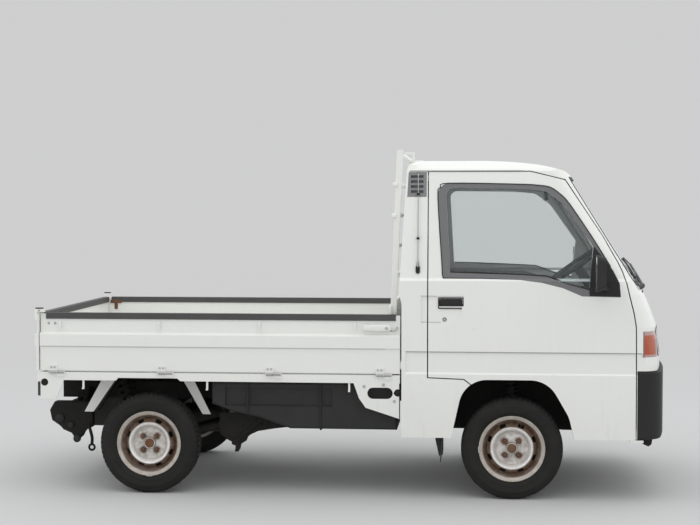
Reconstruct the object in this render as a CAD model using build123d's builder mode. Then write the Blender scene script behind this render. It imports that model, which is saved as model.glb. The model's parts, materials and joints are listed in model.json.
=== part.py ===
from math import cos as cosine, radians, sin as sine
import os

from build123d import *

# Kei truck with a full cab, three dropping bed gates and its engine behind the rear axle.
# Millimetres. +X is forward, +Y is the truck's left, +Z is up, and the ground is z = 0.
# The origin is on the ground under the middle of the truck.

# Overall sizes
WHEELBASE = 1885.0
REAR_OVERHANG = 601.0        # rear axle to the back of the gate hinges
FRONT_OVERHANG = 816.0       # front axle to the face of the bumper
BODY_HALF = 697.5            # half the width over the cab and the bed gates
ROOF_TOP = 1743.0
TRACK_HALF = 605.0           # truck's centre plane to a tyre's middle plane

REAR_AXLE = -(WHEELBASE + FRONT_OVERHANG - REAR_OVERHANG) / 2
FRONT_AXLE = REAR_AXLE + WHEELBASE

# Clearances
GAP = 6.0                    # round every piece that swings
SEAT = 0.3                   # between pieces that sit on each other
RUN = 0.05                   # round a shaft in its bore

# Wheels
TYRE_R = 260.0
TYRE_WIDTH = 144.0
TYRE_WALL = 14.0
BEAD_R = 152.0               # rim's bead seat
RIM_HALF = 56.0              # half the rim's width over its flanges
RIM_FLANGE = 17.0            # height of each flange over the bead seat
RIM_WALL = 4.0
WELL_R = 136.0               # rim's well, which the disc is pressed into
DISC_R = 121.0               # radius of the ring of slots
SLOT_COUNT = 8
SLOT_LENGTH = 34.0
SLOT_WIDTH = 15.0
LUG_PCD = 100.0
LUG_COUNT = 4
LUG_NUT_R = 9.5
CAP_R = 30.0
DRUM_R = 98.0
DRUM_DEPTH = 46.0
STUB_R = 15.0
STUB_REACH = 40.0            # of the stub axle into the drum

# Steering
KINGPIN_Y = 495.0
STEERING_WHEEL_R = 190.0
STEERING_RIM_R = 13.0
STEERING_Y = -330.0
STEERING_RAKE = 35.0         # of the wheel's plane from level
COLUMN_R = 16.0

# Bed
BED_FLOOR_TOP = 652.0
FLOOR_SHEET = 4.0
FLOOR_RIB = 10.0
FLOOR_RIB_COUNT = 11
SILL_BOTTOM = 592.0
SILL_TOP = 634.0
SILL_FACE = 688.0
SILL_INNER = 604.0
SHEET = 4.0
HINGE_R = 7.0
HINGE_WIDTH = 40.0
GATE_BOTTOM = 642.0
GATE_TOP = 938.0
GATE_INNER = 656.0
BED_REAR = -568.0            # rear end of the side gates, from the rear axle
GATE_FRONT = 571.0           # front end of the side gates, behind the front axle
TRIM_WALL = 6.0
TRIM_BOTTOM = 912.0

# Guard frame behind the cab
POST_Y = 600.0
POST_X = 637.0               # behind the front axle, at the bed floor
POST_DEPTH = 31.0
POST_WIDTH = 34.0
POST_LEAN = 2.25             # degrees forward
GUARD_TOP = 1788.0
HEADBOARD_TOP = 985.0

# Cab
CAB_REAR = 563.0             # cab's back wall behind the front axle
BACK_BULGE = 14.0            # of the back wall above the bed
CAB_BOTTOM = 318.0
SIDE_WALL = 45.0
NOSE_WALL = 45.0
BACK_WALL = 35.0
ROOF_WALL = 30.0
SCREEN_BOW_R = 3075.0        # plan radius of the nose and the windscreen
GLASS = 5.0
GLASS_INSET = 10.0
SEAL_LAP = 16.0              # of the rubber seals over the panes' edges
SEAL_RISE = 3.0              # of the seals over the sheet round them
FRAME_DEPTH = 28.0           # of the doors' window frames and of the vents
LOUVRE_DEPTH = 18.0
BELT = 1119.0
DRIP = 1680.0
FLOOR_TOP = 430.0            # footwell
SEAT_DECK = 700.0            # deck over the front wheels
ARCH_INNER = 372.0

# Bumper
BUMPER_TOP = 665.0
BUMPER_BOTTOM = 320.0
BUMPER_WALL = 22.0

# Chassis
RAIL_OUT = 330.0             # outer face of each rail
RAIL_WIDTH = 60.0
RAIL_BOTTOM = 455.0
RAIL_TOP = 545.0
NOSE_RAIL_TOP = 388.0        # where the rails drop under the footwell
RAIL_FRONT = 733.0           # rails' front ends ahead of the front axle
DECK_SHEET = 30.0            # cab floor's depth with its stiffeners

# Door hinge
HINGE_X = 604.0              # door's pivot ahead of the front axle
HINGE_Y = 692.5
PIVOT_R = 3.5
PIVOT_LENGTH = 14.0
DOOR_SKIN = 12.0             # door's flange over the pillar and the roof rail
LAP_GAP = 8.0                # under that flange

os.makedirs("parts", exist_ok=True)


def rear(x):
    """Station x ahead of the rear axle, in the part's frame."""
    return REAR_AXLE + x


def nose(x):
    """Station x ahead of the front axle, in the part's frame."""
    return FRONT_AXLE + x


def sin(degrees):
    return sine(radians(degrees))


def cos(degrees):
    return cosine(radians(degrees))


def save(name, label):
    name.part.label = label
    export_step(name.part, "parts/" + label + ".step")


# Cab form: a stack of plan sections, each a straight back and sides, a bowed front and round corners
# columns: height, front at the centre plane ahead of the front axle, half width, corner radius
CAB_SECTIONS = [
    (CAB_BOTTOM, 797.0, BODY_HALF, 105.0),
    (700.0, 797.0, BODY_HALF, 105.0),
    (829.0, 786.0, BODY_HALF, 105.0),
    (886.0, 777.0, BODY_HALF, 102.0),
    (977.0, 742.0, BODY_HALF, 96.0),
    (1054.0, 709.0, BODY_HALF, 90.0),
    (BELT, 668.0, BODY_HALF, 84.0),
    (BELT + 14.0, 659.0, BODY_HALF - 15.0, 80.0),
    (1800.0, 236.0, BODY_HALF - 100.0, 70.0),
]


def cab_volume(side, front, back, top):
    """The cab's outer form with its faces moved inwards by the four given depths."""
    with BuildPart(mode=Mode.PRIVATE) as volume:
        for z, tip, half, corner in CAB_SECTIONS:
            with BuildSketch(Plane.XY.offset(z)):
                with BuildLine():
                    half_in = half - side
                    bow = half_in**2 / (2 * SCREEN_BOW_R)
                    shoulder = nose(tip) - front - bow
                    Polyline((shoulder, -half_in), (nose(-CAB_REAR - 60), -half_in),
                             (nose(-CAB_REAR - 60), half_in), (shoulder, half_in))
                    ThreePointArc((shoulder, half_in), (nose(tip) - front, 0), (shoulder, -half_in))
                face = make_face()
                fillet(face.vertices().group_by(Axis.X)[-1], corner - front / 2)
        loft(ruled=True)
        with BuildSketch(Plane.XZ) as side_view:
            with BuildLine():
                low = CAB_BOTTOM - 20
                Polyline((nose(-CAB_REAR) + back, low), (nose(-CAB_REAR) + back, 1000),
                         (nose(-CAB_REAR - BACK_BULGE) + back, 1060), (nose(-CAB_REAR + 22) + back, DRIP))
                RadiusArc((nose(-CAB_REAR + 22) + back, DRIP),
                          (nose(-CAB_REAR + 85) + back, ROOF_TOP - top), 75)
                Line((nose(-CAB_REAR + 85) + back, ROOF_TOP - top), (nose(-220), ROOF_TOP - top))
                ThreePointArc((nose(-220), ROOF_TOP - top), (nose(45), ROOF_TOP - 17 - top),
                              (nose(273), ROOF_TOP - 66 - top))
                Polyline((nose(273), ROOF_TOP - 66 - top), (nose(900), ROOF_TOP - 330 - top),
                         (nose(900), low), (nose(-CAB_REAR) + back, low))
            make_face()
        extrude(amount=BODY_HALF + 50, both=True, mode=Mode.INTERSECT)
        with BuildSketch(Plane.YZ) as front_view:
            with BuildLine():
                wide = BODY_HALF - side
                eave = BODY_HALF - 88 - side
                Polyline((-eave, DRIP - top), (-wide - 40, DRIP - top - 60), (-wide - 40, low - 1),
                         (wide + 40, low - 1), (wide + 40, DRIP - top - 60), (eave, DRIP - top))
                crown = eave - 70
                RadiusArc((eave, DRIP - top), (crown, ROOF_TOP - 28 - top), -72)
                ThreePointArc((crown, ROOF_TOP - 28 - top), (0, ROOF_TOP + 6 - top),
                              (-crown, ROOF_TOP - 28 - top))
                RadiusArc((-crown, ROOF_TOP - 28 - top), (-eave, DRIP - top), -72)
            make_face()
        extrude(amount=WHEELBASE + FRONT_OVERHANG, both=True, mode=Mode.INTERSECT)
    return volume.part


def form_inside(depth):
    """The cab's outer form with all its faces moved inwards by one depth."""
    return cab_volume(depth, depth, depth, depth)


def plan_prism(tip, half, corner, low, high):
    """Upright block with the cab's plan outline."""
    with BuildPart(mode=Mode.PRIVATE) as prism:
        with BuildSketch(Plane.XY.offset(low)):
            with BuildLine():
                shoulder = nose(tip) - half**2 / (2 * SCREEN_BOW_R)
                Polyline((shoulder, -half), (nose(-CAB_REAR), -half),
                         (nose(-CAB_REAR), half), (shoulder, half))
                ThreePointArc((shoulder, half), (nose(tip), 0), (shoulder, -half))
            face = make_face()
            fillet(face.vertices().group_by(Axis.X)[-1], corner)
        extrude(amount=high - low)
    return prism.part


def side_prism(points, rounds, near, far, inset=0.0):
    """Block with an outline seen from the side, from y = -near out to y = -far."""
    with BuildPart(mode=Mode.PRIVATE) as prism:
        with BuildSketch(Plane.XZ.offset(near)):
            with BuildLine():
                Polyline([(nose(x), z) for x, z in points], close=True)
            face = make_face()
            for index, radius in rounds.items():
                x, z = points[index]
                corner = face.vertices().sort_by_distance((nose(x), z, 0))[0]
                face = fillet(corner, radius)
            if inset:
                offset(amount=-inset, kind=Kind.INTERSECTION, mode=Mode.REPLACE)
        extrude(amount=far - near)
    return prism.part


def block(x0, x1, y0, y1, z0, z1):
    """Plain box between two corners, for use outside a builder."""
    centre = Pos((x0 + x1) / 2, (y0 + y1) / 2, (z0 + z1) / 2)
    return centre * Box(abs(x1 - x0), abs(y1 - y0), abs(z1 - z0), mode=Mode.PRIVATE)


def rod(start, end, radius):
    """Round bar from one point to another."""
    path = Vector(*end) - Vector(*start)
    upright = Cylinder(radius, path.length, align=(Align.CENTER, Align.CENTER, Align.MIN), mode=Mode.PRIVATE)
    return Plane(start, z_dir=path) * upright


def both_sides(right):
    """A right-hand shape with its mirror image on the left."""
    return right + right.mirror(Plane.XZ)


# Outlines seen from the side, ahead of the front axle and above the ground
DOOR_REAR = -433
DOOR_FRONT = [(574, 1108), (589, 1042), (610, 959), (621, 892), (624, 671), (624, 290)]
DOOR_FOOT = [(150, 290), (0, 400), (-200, 579), (-246, 615), (DOOR_REAR, 622)]
# the door's thick inner part stays inside the pillar and the roof rail, which its outer skin laps over
DOOR_HEAD = [(DOOR_REAR, 1630), (165, 1626), (266, 1574), (474, 1254), (518, 1181), (548, 1124)]
DOOR_OUTLINE = DOOR_HEAD + DOOR_FRONT + DOOR_FOOT
DOOR_ROUNDS = {1: 60}
SKIN_HEAD = [(DOOR_REAR, DRIP), (90, DRIP), (268, DRIP - 44), (457, 1350), (532, 1216), (554, 1170)]
SKIN_OUTLINE = SKIN_HEAD + DOOR_FRONT + DOOR_FOOT
FRAME_OUTLINE = [(-353, 1132), (-386, 1618), (35, 1611), (185, 1602), (276, 1529), (411, 1324), (503, 1173),
                 (534, 1110), (540, 1040), (348, 1044), (252, 1085), (144, 1112), (37, 1125), (-158, 1130)]
FRAME_ROUNDS = {1: 62, 3: 70, 4: 60}
GLASS_OUTLINE = [(-316, 1161), (-340, 1592), (35, 1588), (165, 1577), (256, 1509), (407, 1297), (383, 1075),
                 (279, 1102), (215, 1126), (171, 1142), (37, 1150)]
GLASS_ROUNDS = {1: 40, 3: 60, 4: 60}
ARCH_OUTLINE = [(-316, 290), (-243, 617), (178, 617), (286, 430), (320, 290)]
ARCH_ROUNDS = {1: 145, 2: 150, 3: 180}
VENT_OUTLINE = [(-538, 1546), (-531, 1674), (-438, 1674), (-438, 1546)]

# Cab shell before it is split into panels
outer_form = form_inside(0)
inner_form = cab_volume(SIDE_WALL, NOSE_WALL, BACK_WALL, ROOF_WALL)
glass_face = form_inside(GLASS_INSET)
glass_back = form_inside(GLASS_INSET + GLASS)
clear_form = form_inside(-SEAT)
frame_back = form_inside(FRAME_DEPTH)
skin_back = form_inside(DOOR_SKIN)
rail_face = form_inside(DOOR_SKIN + LAP_GAP)
seal_face = form_inside(-SEAL_RISE)
seal_back = form_inside(GLASS_INSET - SEAT)
louvre_back = form_inside(LOUVRE_DEPTH)

FAR_SIDE = BODY_HALF + 60
door_opening = (side_prism(DOOR_OUTLINE, DOOR_ROUNDS, 300, FAR_SIDE)
                + (side_prism(SKIN_OUTLINE, {}, 300, FAR_SIDE) - rail_face))
door_block = (side_prism(DOOR_OUTLINE, DOOR_ROUNDS, 300, FAR_SIDE, inset=GAP)
              + (side_prism(SKIN_OUTLINE, {}, 300, FAR_SIDE, inset=GAP) - skin_back))
frame_block = side_prism(FRAME_OUTLINE, FRAME_ROUNDS, 300, FAR_SIDE)
pane_block = side_prism(GLASS_OUTLINE, GLASS_ROUNDS, 300, FAR_SIDE)
arch_block = side_prism(ARCH_OUTLINE, ARCH_ROUNDS, ARCH_INNER, FAR_SIDE)
vent_block = side_prism(VENT_OUTLINE, {}, 480, FAR_SIDE)

# Windscreen and rear window openings, seen from the front: half width and height of each corner
SCREEN_CORNERS = [(600, 1090), (546, 1652)]
REAR_WINDOW_CORNERS = [(470, 1150), (440, 1560)]


def window_prism(corners, x_from, x_to, radius, inset=0.0):
    (low_half, low), (high_half, high) = corners
    with BuildPart(mode=Mode.PRIVATE) as prism:
        with BuildSketch(Plane.YZ.offset(x_from)) as opening:
            with BuildLine():
                Polyline((-low_half, low), (low_half, low), (high_half, high), (-high_half, high), close=True)
            make_face()
            fillet(opening.vertices(), radius)
            if inset:
                offset(amount=-inset, kind=Kind.INTERSECTION, mode=Mode.REPLACE)
        extrude(amount=x_to - x_from)
    return prism.part



def screen_prism(inset=0.0):
    return window_prism(SCREEN_CORNERS, nose(150), nose(900), 55, inset)


def back_pane_prism(inset=0.0):
    return window_prism(REAR_WINDOW_CORNERS, nose(-CAB_REAR - 80), nose(-CAB_REAR + 160), 45, inset)


screen_opening = screen_prism()
rear_opening = back_pane_prism()
screen_pane = screen_prism(SEAT)
rear_pane = back_pane_prism(SEAT)
screen_lap = screen_pane - screen_prism(SEAL_LAP)
rear_lap = rear_pane - back_pane_prism(SEAL_LAP)

# Front lamps: y from, y to, z from, z to, rearmost x ahead of the front axle
LAMPS = [(335.0, 560.0, 738.0, 868.0, 650.0), (566.0, 700.0, 738.0, 868.0, 653.0)]
lamp_seats = [both_sides(block(nose(x), nose(900), -y1, -y0, z0, z1)) for y0, y1, z0, z1, x in LAMPS]
lamp_blocks = [both_sides(block(nose(x + SEAT), nose(900), -y1 + SEAT, -y0 - SEAT, z0 + SEAT, z1 - SEAT))
               for y0, y1, z0, z1, x in LAMPS]

BUMPER_ENDS = 627.0          # bumper's side ends ahead of the front axle
bumper_seat = (plan_prism(FRONT_OVERHANG + 30, BODY_HALF + 30, 130, 200, BUMPER_TOP + 3)
               - plan_prism(FRONT_OVERHANG - BUMPER_WALL - SEAT, BODY_HALF - BUMPER_WALL - SEAT, 95,
                            190, BUMPER_TOP + 3)
               - block(nose(-700), nose(BUMPER_ENDS - 1), -900, 900, 0, 900))

POCKET_OUTLINE = [(-464, 908), (-464, 1042), (-247, 1042), (-262, 940), (-300, 908)]
handle_pocket = side_prism(POCKET_OUTLINE, {4: 30}, BODY_HALF - 7, FAR_SIDE)
with BuildPart() as shell:
    add(outer_form)
    add(inner_form, mode=Mode.SUBTRACT)
    # pressed channel along the side, with a sharp upper edge and a sloping lower one
    with BuildSketch(Plane.YZ.offset(nose(-542))):
        with BuildLine():
            Polyline((BODY_HALF + 9, 757), (BODY_HALF - 7, 757), (BODY_HALF - 7, 652), (BODY_HALF + 9, 632),
                     close=True)
        make_face()
        mirror(about=Plane.YZ)
    extrude(amount=1400, mode=Mode.SUBTRACT)
    # pocket round the door handle, run on to the rear quarter
    add(both_sides(handle_pocket), mode=Mode.SUBTRACT)
    add(both_sides(arch_block), mode=Mode.SUBTRACT)
    add(both_sides(vent_block), mode=Mode.SUBTRACT)
    add(screen_opening, mode=Mode.SUBTRACT)
    add(rear_opening, mode=Mode.SUBTRACT)
    add(lamp_seats[0], mode=Mode.SUBTRACT)
    add(lamp_seats[1], mode=Mode.SUBTRACT)
    add(bumper_seat, mode=Mode.SUBTRACT)

# Where the cab's panels meet
ROOF_INNER = 540.0           # half width of the roof panel's drop to the windscreen's header
HEADER = 1645.0
BACK_INNER = 560.0           # half width of the back panel
COWL = 1092.0                # top of the front panel
FRONT_SPLIT = 560.0          # front panel's rear limit ahead of the front axle

roof_zone = (block(nose(-700), nose(900), -900, 900, DRIP, 1900)
             + block(nose(-700), nose(900), -ROOF_INNER, ROOF_INNER, HEADER, 1900))
back_zone = block(nose(-700), nose(-CAB_REAR + 100), -BACK_INNER, BACK_INNER, 0, HEADER)
front_zone = block(nose(FRONT_SPLIT), nose(900), -900, 900, 0, COWL)

with BuildPart() as cab_roof:
    add(shell.part)
    add(roof_zone, mode=Mode.INTERSECT)
save(cab_roof, "cab_roof")

with BuildPart() as cab_back_panel:
    add(shell.part)
    add(back_zone, mode=Mode.INTERSECT)
    add(block(nose(-700), nose(-400), -RAIL_OUT - 12, RAIL_OUT + 12, 0, RAIL_TOP + 12), mode=Mode.SUBTRACT)
save(cab_back_panel, "cab_back_panel")

with BuildPart() as front_panel:
    add(shell.part)
    add(front_zone, mode=Mode.INTERSECT)
    add(both_sides(door_opening), mode=Mode.SUBTRACT)
    # bracket under each door's front corner, with the pin that the door turns on
    foot = CAB_BOTTOM - 12
    add(both_sides(block(nose(HINGE_X - 14), nose(658), -BODY_HALF + 1, -650, foot, CAB_BOTTOM - SEAT)))
    add(both_sides(block(nose(632), nose(658), -664, -650, foot, CAB_BOTTOM + 12)))
    pin_foot = (nose(HINGE_X), -HINGE_Y, CAB_BOTTOM - 2)
    pin_tip = (nose(HINGE_X), -HINGE_Y, CAB_BOTTOM + PIVOT_LENGTH)
    add(both_sides(rod(pin_foot, pin_tip, PIVOT_R)))
save(front_panel, "front_panel")

with BuildPart() as cab_side_right:
    add(shell.part)
    add(block(nose(-700), nose(900), -900, 0, 0, DRIP), mode=Mode.INTERSECT)
    add(roof_zone, mode=Mode.SUBTRACT)
    add(back_zone, mode=Mode.SUBTRACT)
    add(front_zone, mode=Mode.SUBTRACT)
    add(door_opening, mode=Mode.SUBTRACT)
save(cab_side_right, "cab_side_right")

with BuildPart() as cab_side_left:
    add(cab_side_right.part.mirror(Plane.XZ))
save(cab_side_left, "cab_side_left")

with BuildPart() as front_bumper:
    add(plan_prism(FRONT_OVERHANG, BODY_HALF, 115, BUMPER_BOTTOM, BUMPER_TOP))
    front_edges = front_bumper.edges().filter_by(lambda edge: edge.center().X > nose(560))
    fillet([edge for edge in front_edges if abs(edge.center().Z - BUMPER_TOP) < 1
            or abs(edge.center().Z - BUMPER_BOTTOM) < 1], 12)
    add(plan_prism(FRONT_OVERHANG - BUMPER_WALL, BODY_HALF - BUMPER_WALL, 93, BUMPER_BOTTOM - 5,
                   BUMPER_TOP + 5), mode=Mode.SUBTRACT)
    add(block(nose(-700), nose(BUMPER_ENDS), -900, 900, 0, 900), mode=Mode.SUBTRACT)
    with Locations((nose(FRONT_OVERHANG), 0, 545)):
        Box(12, 340, 175, mode=Mode.SUBTRACT)
    with Locations((nose(FRONT_OVERHANG - 10), 0, 385)):
        Box(60, 620, 60, mode=Mode.SUBTRACT)
save(front_bumper, "front_bumper")

with BuildPart() as front_lamps:
    add(outer_form)
    add(inner_form, mode=Mode.SUBTRACT)
    add(lamp_blocks[0] + lamp_blocks[1], mode=Mode.INTERSECT)
save(front_lamps, "front_lamps")

with BuildPart() as windscreen:
    add(glass_face)
    add(glass_back, mode=Mode.SUBTRACT)
    add(screen_pane, mode=Mode.INTERSECT)
save(windscreen, "windscreen")

with BuildPart() as rear_window:
    add(glass_face)
    add(glass_back, mode=Mode.SUBTRACT)
    add(rear_pane, mode=Mode.INTERSECT)
save(rear_window, "rear_window")

# Rubber seals that lap over the edges of both panes
with BuildPart() as window_seals:
    add(seal_face)
    add(seal_back, mode=Mode.SUBTRACT)
    add(screen_lap + rear_lap, mode=Mode.INTERSECT)
save(window_seals, "window_seals")

VENT_LOUVRES = 4
LOUVRE = 14.0                # height of each slot
vent_plug = side_prism(VENT_OUTLINE, {}, 480, FAR_SIDE, inset=SEAT)
with BuildPart() as vent:
    add(outer_form)
    add(frame_back, mode=Mode.SUBTRACT)
    add(vent_plug, mode=Mode.INTERSECT)
    step = (VENT_OUTLINE[1][1] - VENT_OUTLINE[0][1]) / (VENT_LOUVRES + 1)
    for number in range(VENT_LOUVRES):
        level = VENT_OUTLINE[0][1] + step * (number + 0.8)
        slot = block(nose(-519), nose(-455), -FAR_SIDE, -400, level, level + LOUVRE)
        add(slot - louvre_back, mode=Mode.SUBTRACT)
with BuildPart() as cab_vents:
    add(both_sides(vent.part))
save(cab_vents, "cab_vents")

# Doors: hinged at their front edges, with a black window frame seated in the skin
frame_plug = side_prism(FRAME_OUTLINE, FRAME_ROUNDS, 300, FAR_SIDE, inset=SEAT)
pane = side_prism(GLASS_OUTLINE, GLASS_ROUNDS, 300, FAR_SIDE, inset=SEAT)
with BuildPart() as window_frame_right:
    add(outer_form)
    add(frame_back, mode=Mode.SUBTRACT)
    add(frame_plug, mode=Mode.INTERSECT)
    add(door_block, mode=Mode.INTERSECT)
    add(pane_block, mode=Mode.SUBTRACT)
save(window_frame_right, "window_frame_right")

with BuildPart() as door_glass_right:
    add(glass_face)
    add(glass_back, mode=Mode.SUBTRACT)
    add(pane, mode=Mode.INTERSECT)
save(door_glass_right, "door_glass_right")

door_rebate = block(nose(-440), nose(DOOR_REAR + GAP + 6), -FAR_SIDE, -300, 600, DRIP) & glass_face
HANDLE = (-374.0, -247.0, 990.0, 1034.0)   # x from, x to, z from, z to
with BuildPart() as door_right:
    add(shell.part)
    add(door_block, mode=Mode.INTERSECT)
    add(frame_block & (outer_form - frame_back), mode=Mode.SUBTRACT)
    add(pane_block, mode=Mode.SUBTRACT)
    x0, x1, z0, z1 = HANDLE
    add(block(nose(x0), nose(x1), -BODY_HALF, -BODY_HALF + 28, z0, z1), mode=Mode.SUBTRACT)
    add(block(nose(x0 + 4), nose(x1 - 4), -BODY_HALF + 3, -BODY_HALF + 14, z0 + 12, z1))
    # rebate inside the rear edge, so that its inner corner swings clear of the pillar
    add(door_rebate, mode=Mode.SUBTRACT)
    # blind bore for the pivot pin
    bore_top = (nose(HINGE_X), -HINGE_Y, CAB_BOTTOM + PIVOT_LENGTH + 2)
    add(rod((nose(HINGE_X), -HINGE_Y, CAB_BOTTOM - 5), bore_top, PIVOT_R + RUN), mode=Mode.SUBTRACT)
save(door_right, "door_right")

MIRROR = (430.0, 790.0, 1165.0)            # centre of the head: ahead of the axle, out, up
with BuildPart() as mirror_right:
    mx, my, mz = MIRROR
    with BuildSketch(Plane.YZ.offset(nose(mx - 22))):
        with Locations((-my, mz)):
            RectangleRounded(132, 186, 30)
    with BuildSketch(Plane.YZ.offset(nose(mx + 26))):
        with Locations((-my, mz)):
            RectangleRounded(104, 156, 26)
    loft(ruled=True)
    # glass recess in the rear face
    with BuildSketch(Plane.YZ.offset(nose(mx - 22))):
        with Locations((-my, mz)):
            RectangleRounded(120, 174, 26)
    extrude(amount=6, mode=Mode.SUBTRACT)
    stalk = [(nose(mx + 6), -my + 30, mz - 60), (nose(mx + 40), -my + 85, mz - 85),
             (nose(mx + 48), -BODY_HALF + 19, mz - 88)]
    with BuildLine():
        Polyline(stalk)
    with BuildSketch(Plane(stalk[0], z_dir=Vector(*stalk[1]) - Vector(*stalk[0]))):
        Circle(11)
    sweep(transition=Transition.ROUND)
    add(clear_form, mode=Mode.SUBTRACT)
save(mirror_right, "mirror_right")

for piece, label in [(window_frame_right, "window_frame_left"), (door_glass_right, "door_glass_left"),
                     (door_right, "door_left"), (mirror_right, "mirror_left")]:
    with BuildPart() as left:
        add(piece.part.mirror(Plane.XZ))
    save(left, label)

# Cab floor: footwell, riser and the deck that the seats stand on, with the wheel housings under it
HOUSING_GAP = 14.0           # wheel housing outside the arch's edge
HOUSING_WALL = 10.0
FLOOR_HALF = BODY_HALF - SIDE_WALL - 18
with BuildPart() as cab_floor:
    riser = ARCH_OUTLINE[-1][0] + HOUSING_GAP + 5
    with BuildSketch(Plane.XZ):
        with BuildLine():
            deck_back = nose(-CAB_REAR + BACK_WALL + SEAT)
            under_deck = SEAT_DECK - DECK_SHEET
            under_floor = FLOOR_TOP - DECK_SHEET
            Polyline((deck_back, SEAT_DECK), (nose(riser + 25), SEAT_DECK), (nose(riser + 25), FLOOR_TOP),
                     (nose(745), FLOOR_TOP), (nose(745), under_floor), (nose(riser), under_floor),
                     (nose(riser), under_deck), (deck_back, under_deck), close=True)
        make_face()
    extrude(amount=FLOOR_HALF, both=True)
    housing = (side_prism(ARCH_OUTLINE, ARCH_ROUNDS, ARCH_INNER - HOUSING_WALL, FLOOR_HALF,
                          inset=-HOUSING_GAP - HOUSING_WALL)
               - side_prism(ARCH_OUTLINE, ARCH_ROUNDS, ARCH_INNER, FAR_SIDE, inset=-HOUSING_GAP))
    housing = housing & block(nose(-700), nose(700), -900, 900, CAB_BOTTOM, 900)
    add(both_sides(housing))
    wall = (block(nose(-340), nose(riser + 25), -ARCH_INNER, -ARCH_INNER + HOUSING_WALL, CAB_BOTTOM,
                  SEAT_DECK - 30)
            - block(nose(-200), nose(200), -ARCH_INNER - 1, -ARCH_INNER + HOUSING_WALL + 1, 0, 440))
    add(both_sides(wall))
    add(plan_prism(752 - SEAT, BODY_HALF - SIDE_WALL - SEAT, 86, 0, 1000), mode=Mode.INTERSECT)
save(cab_floor, "cab_floor")


def run_along_x(points, x_from, x_to):
    """Profile of (y, z) points extruded forward."""
    with BuildPart(mode=Mode.PRIVATE) as bar:
        with BuildSketch(Plane.YZ.offset(x_from)):
            with BuildLine():
                Polyline(points, close=True)
            make_face()
        extrude(amount=x_to - x_from)
    return bar.part


def run_along_y(points, y_from, y_to):
    """Profile of (x, z) points extruded to the left."""
    with BuildPart(mode=Mode.PRIVATE) as bar:
        with BuildSketch(Plane.XZ.offset(-y_from)):
            with BuildLine():
                Polyline(points, close=True)
            make_face()
        extrude(amount=y_from - y_to)
    return bar.part


# Bed
bed_rear = rear(BED_REAR)
bed_front = nose(-GATE_FRONT)
FLOOR_HALF_WIDTH = GATE_INNER - 8
floor_front = nose(-POST_X + POST_DEPTH + 6)
rib_front = nose(-POST_X - 22)   # ribs end before the headboard, on a flat strip that carries the posts
STRIP_TOP = BED_FLOOR_TOP - FLOOR_RIB
with BuildPart() as bed_floor:
    pitch = 2 * FLOOR_HALF_WIDTH / FLOOR_RIB_COUNT
    low = STRIP_TOP
    top_line = []
    for number in range(FLOOR_RIB_COUNT):
        start = -FLOOR_HALF_WIDTH + pitch * number
        top_line += [(start, low), (start + pitch * 0.2, low), (start + pitch * 0.27, BED_FLOOR_TOP),
                     (start + pitch * 0.73, BED_FLOOR_TOP), (start + pitch * 0.8, low)]
    top_line.append((FLOOR_HALF_WIDTH, low))
    under = [(y, z - FLOOR_SHEET) for y, z in reversed(top_line)]
    flat = [(FLOOR_HALF_WIDTH, low - FLOOR_SHEET), (-FLOOR_HALF_WIDTH, low - FLOOR_SHEET)]
    add(run_along_x(top_line + under, bed_rear + 18, rib_front))
    add(run_along_x(top_line + flat, rib_front - FLOOR_SHEET, rib_front))
    add(block(rib_front - 1, floor_front, -FLOOR_HALF_WIDTH, FLOOR_HALF_WIDTH, low - FLOOR_SHEET, low))
save(bed_floor, "bed_floor")

sheet_under = STRIP_TOP - FLOOR_SHEET - SEAT
BED_BEAMS = [-470.0, -240.0, 168.0, 400.0, 640.0, 900.0, 1160.0]   # cross members ahead of the rear axle
BEAM_BOTTOM = SILL_BOTTOM + 6
with BuildPart() as bed_beams:
    for x in BED_BEAMS:
        half = SILL_INNER - SEAT
        add(block(rear(x) - 22, rear(x) + 22, -half, half, BEAM_BOTTOM, sheet_under))
save(bed_beams, "bed_beams")

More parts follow.
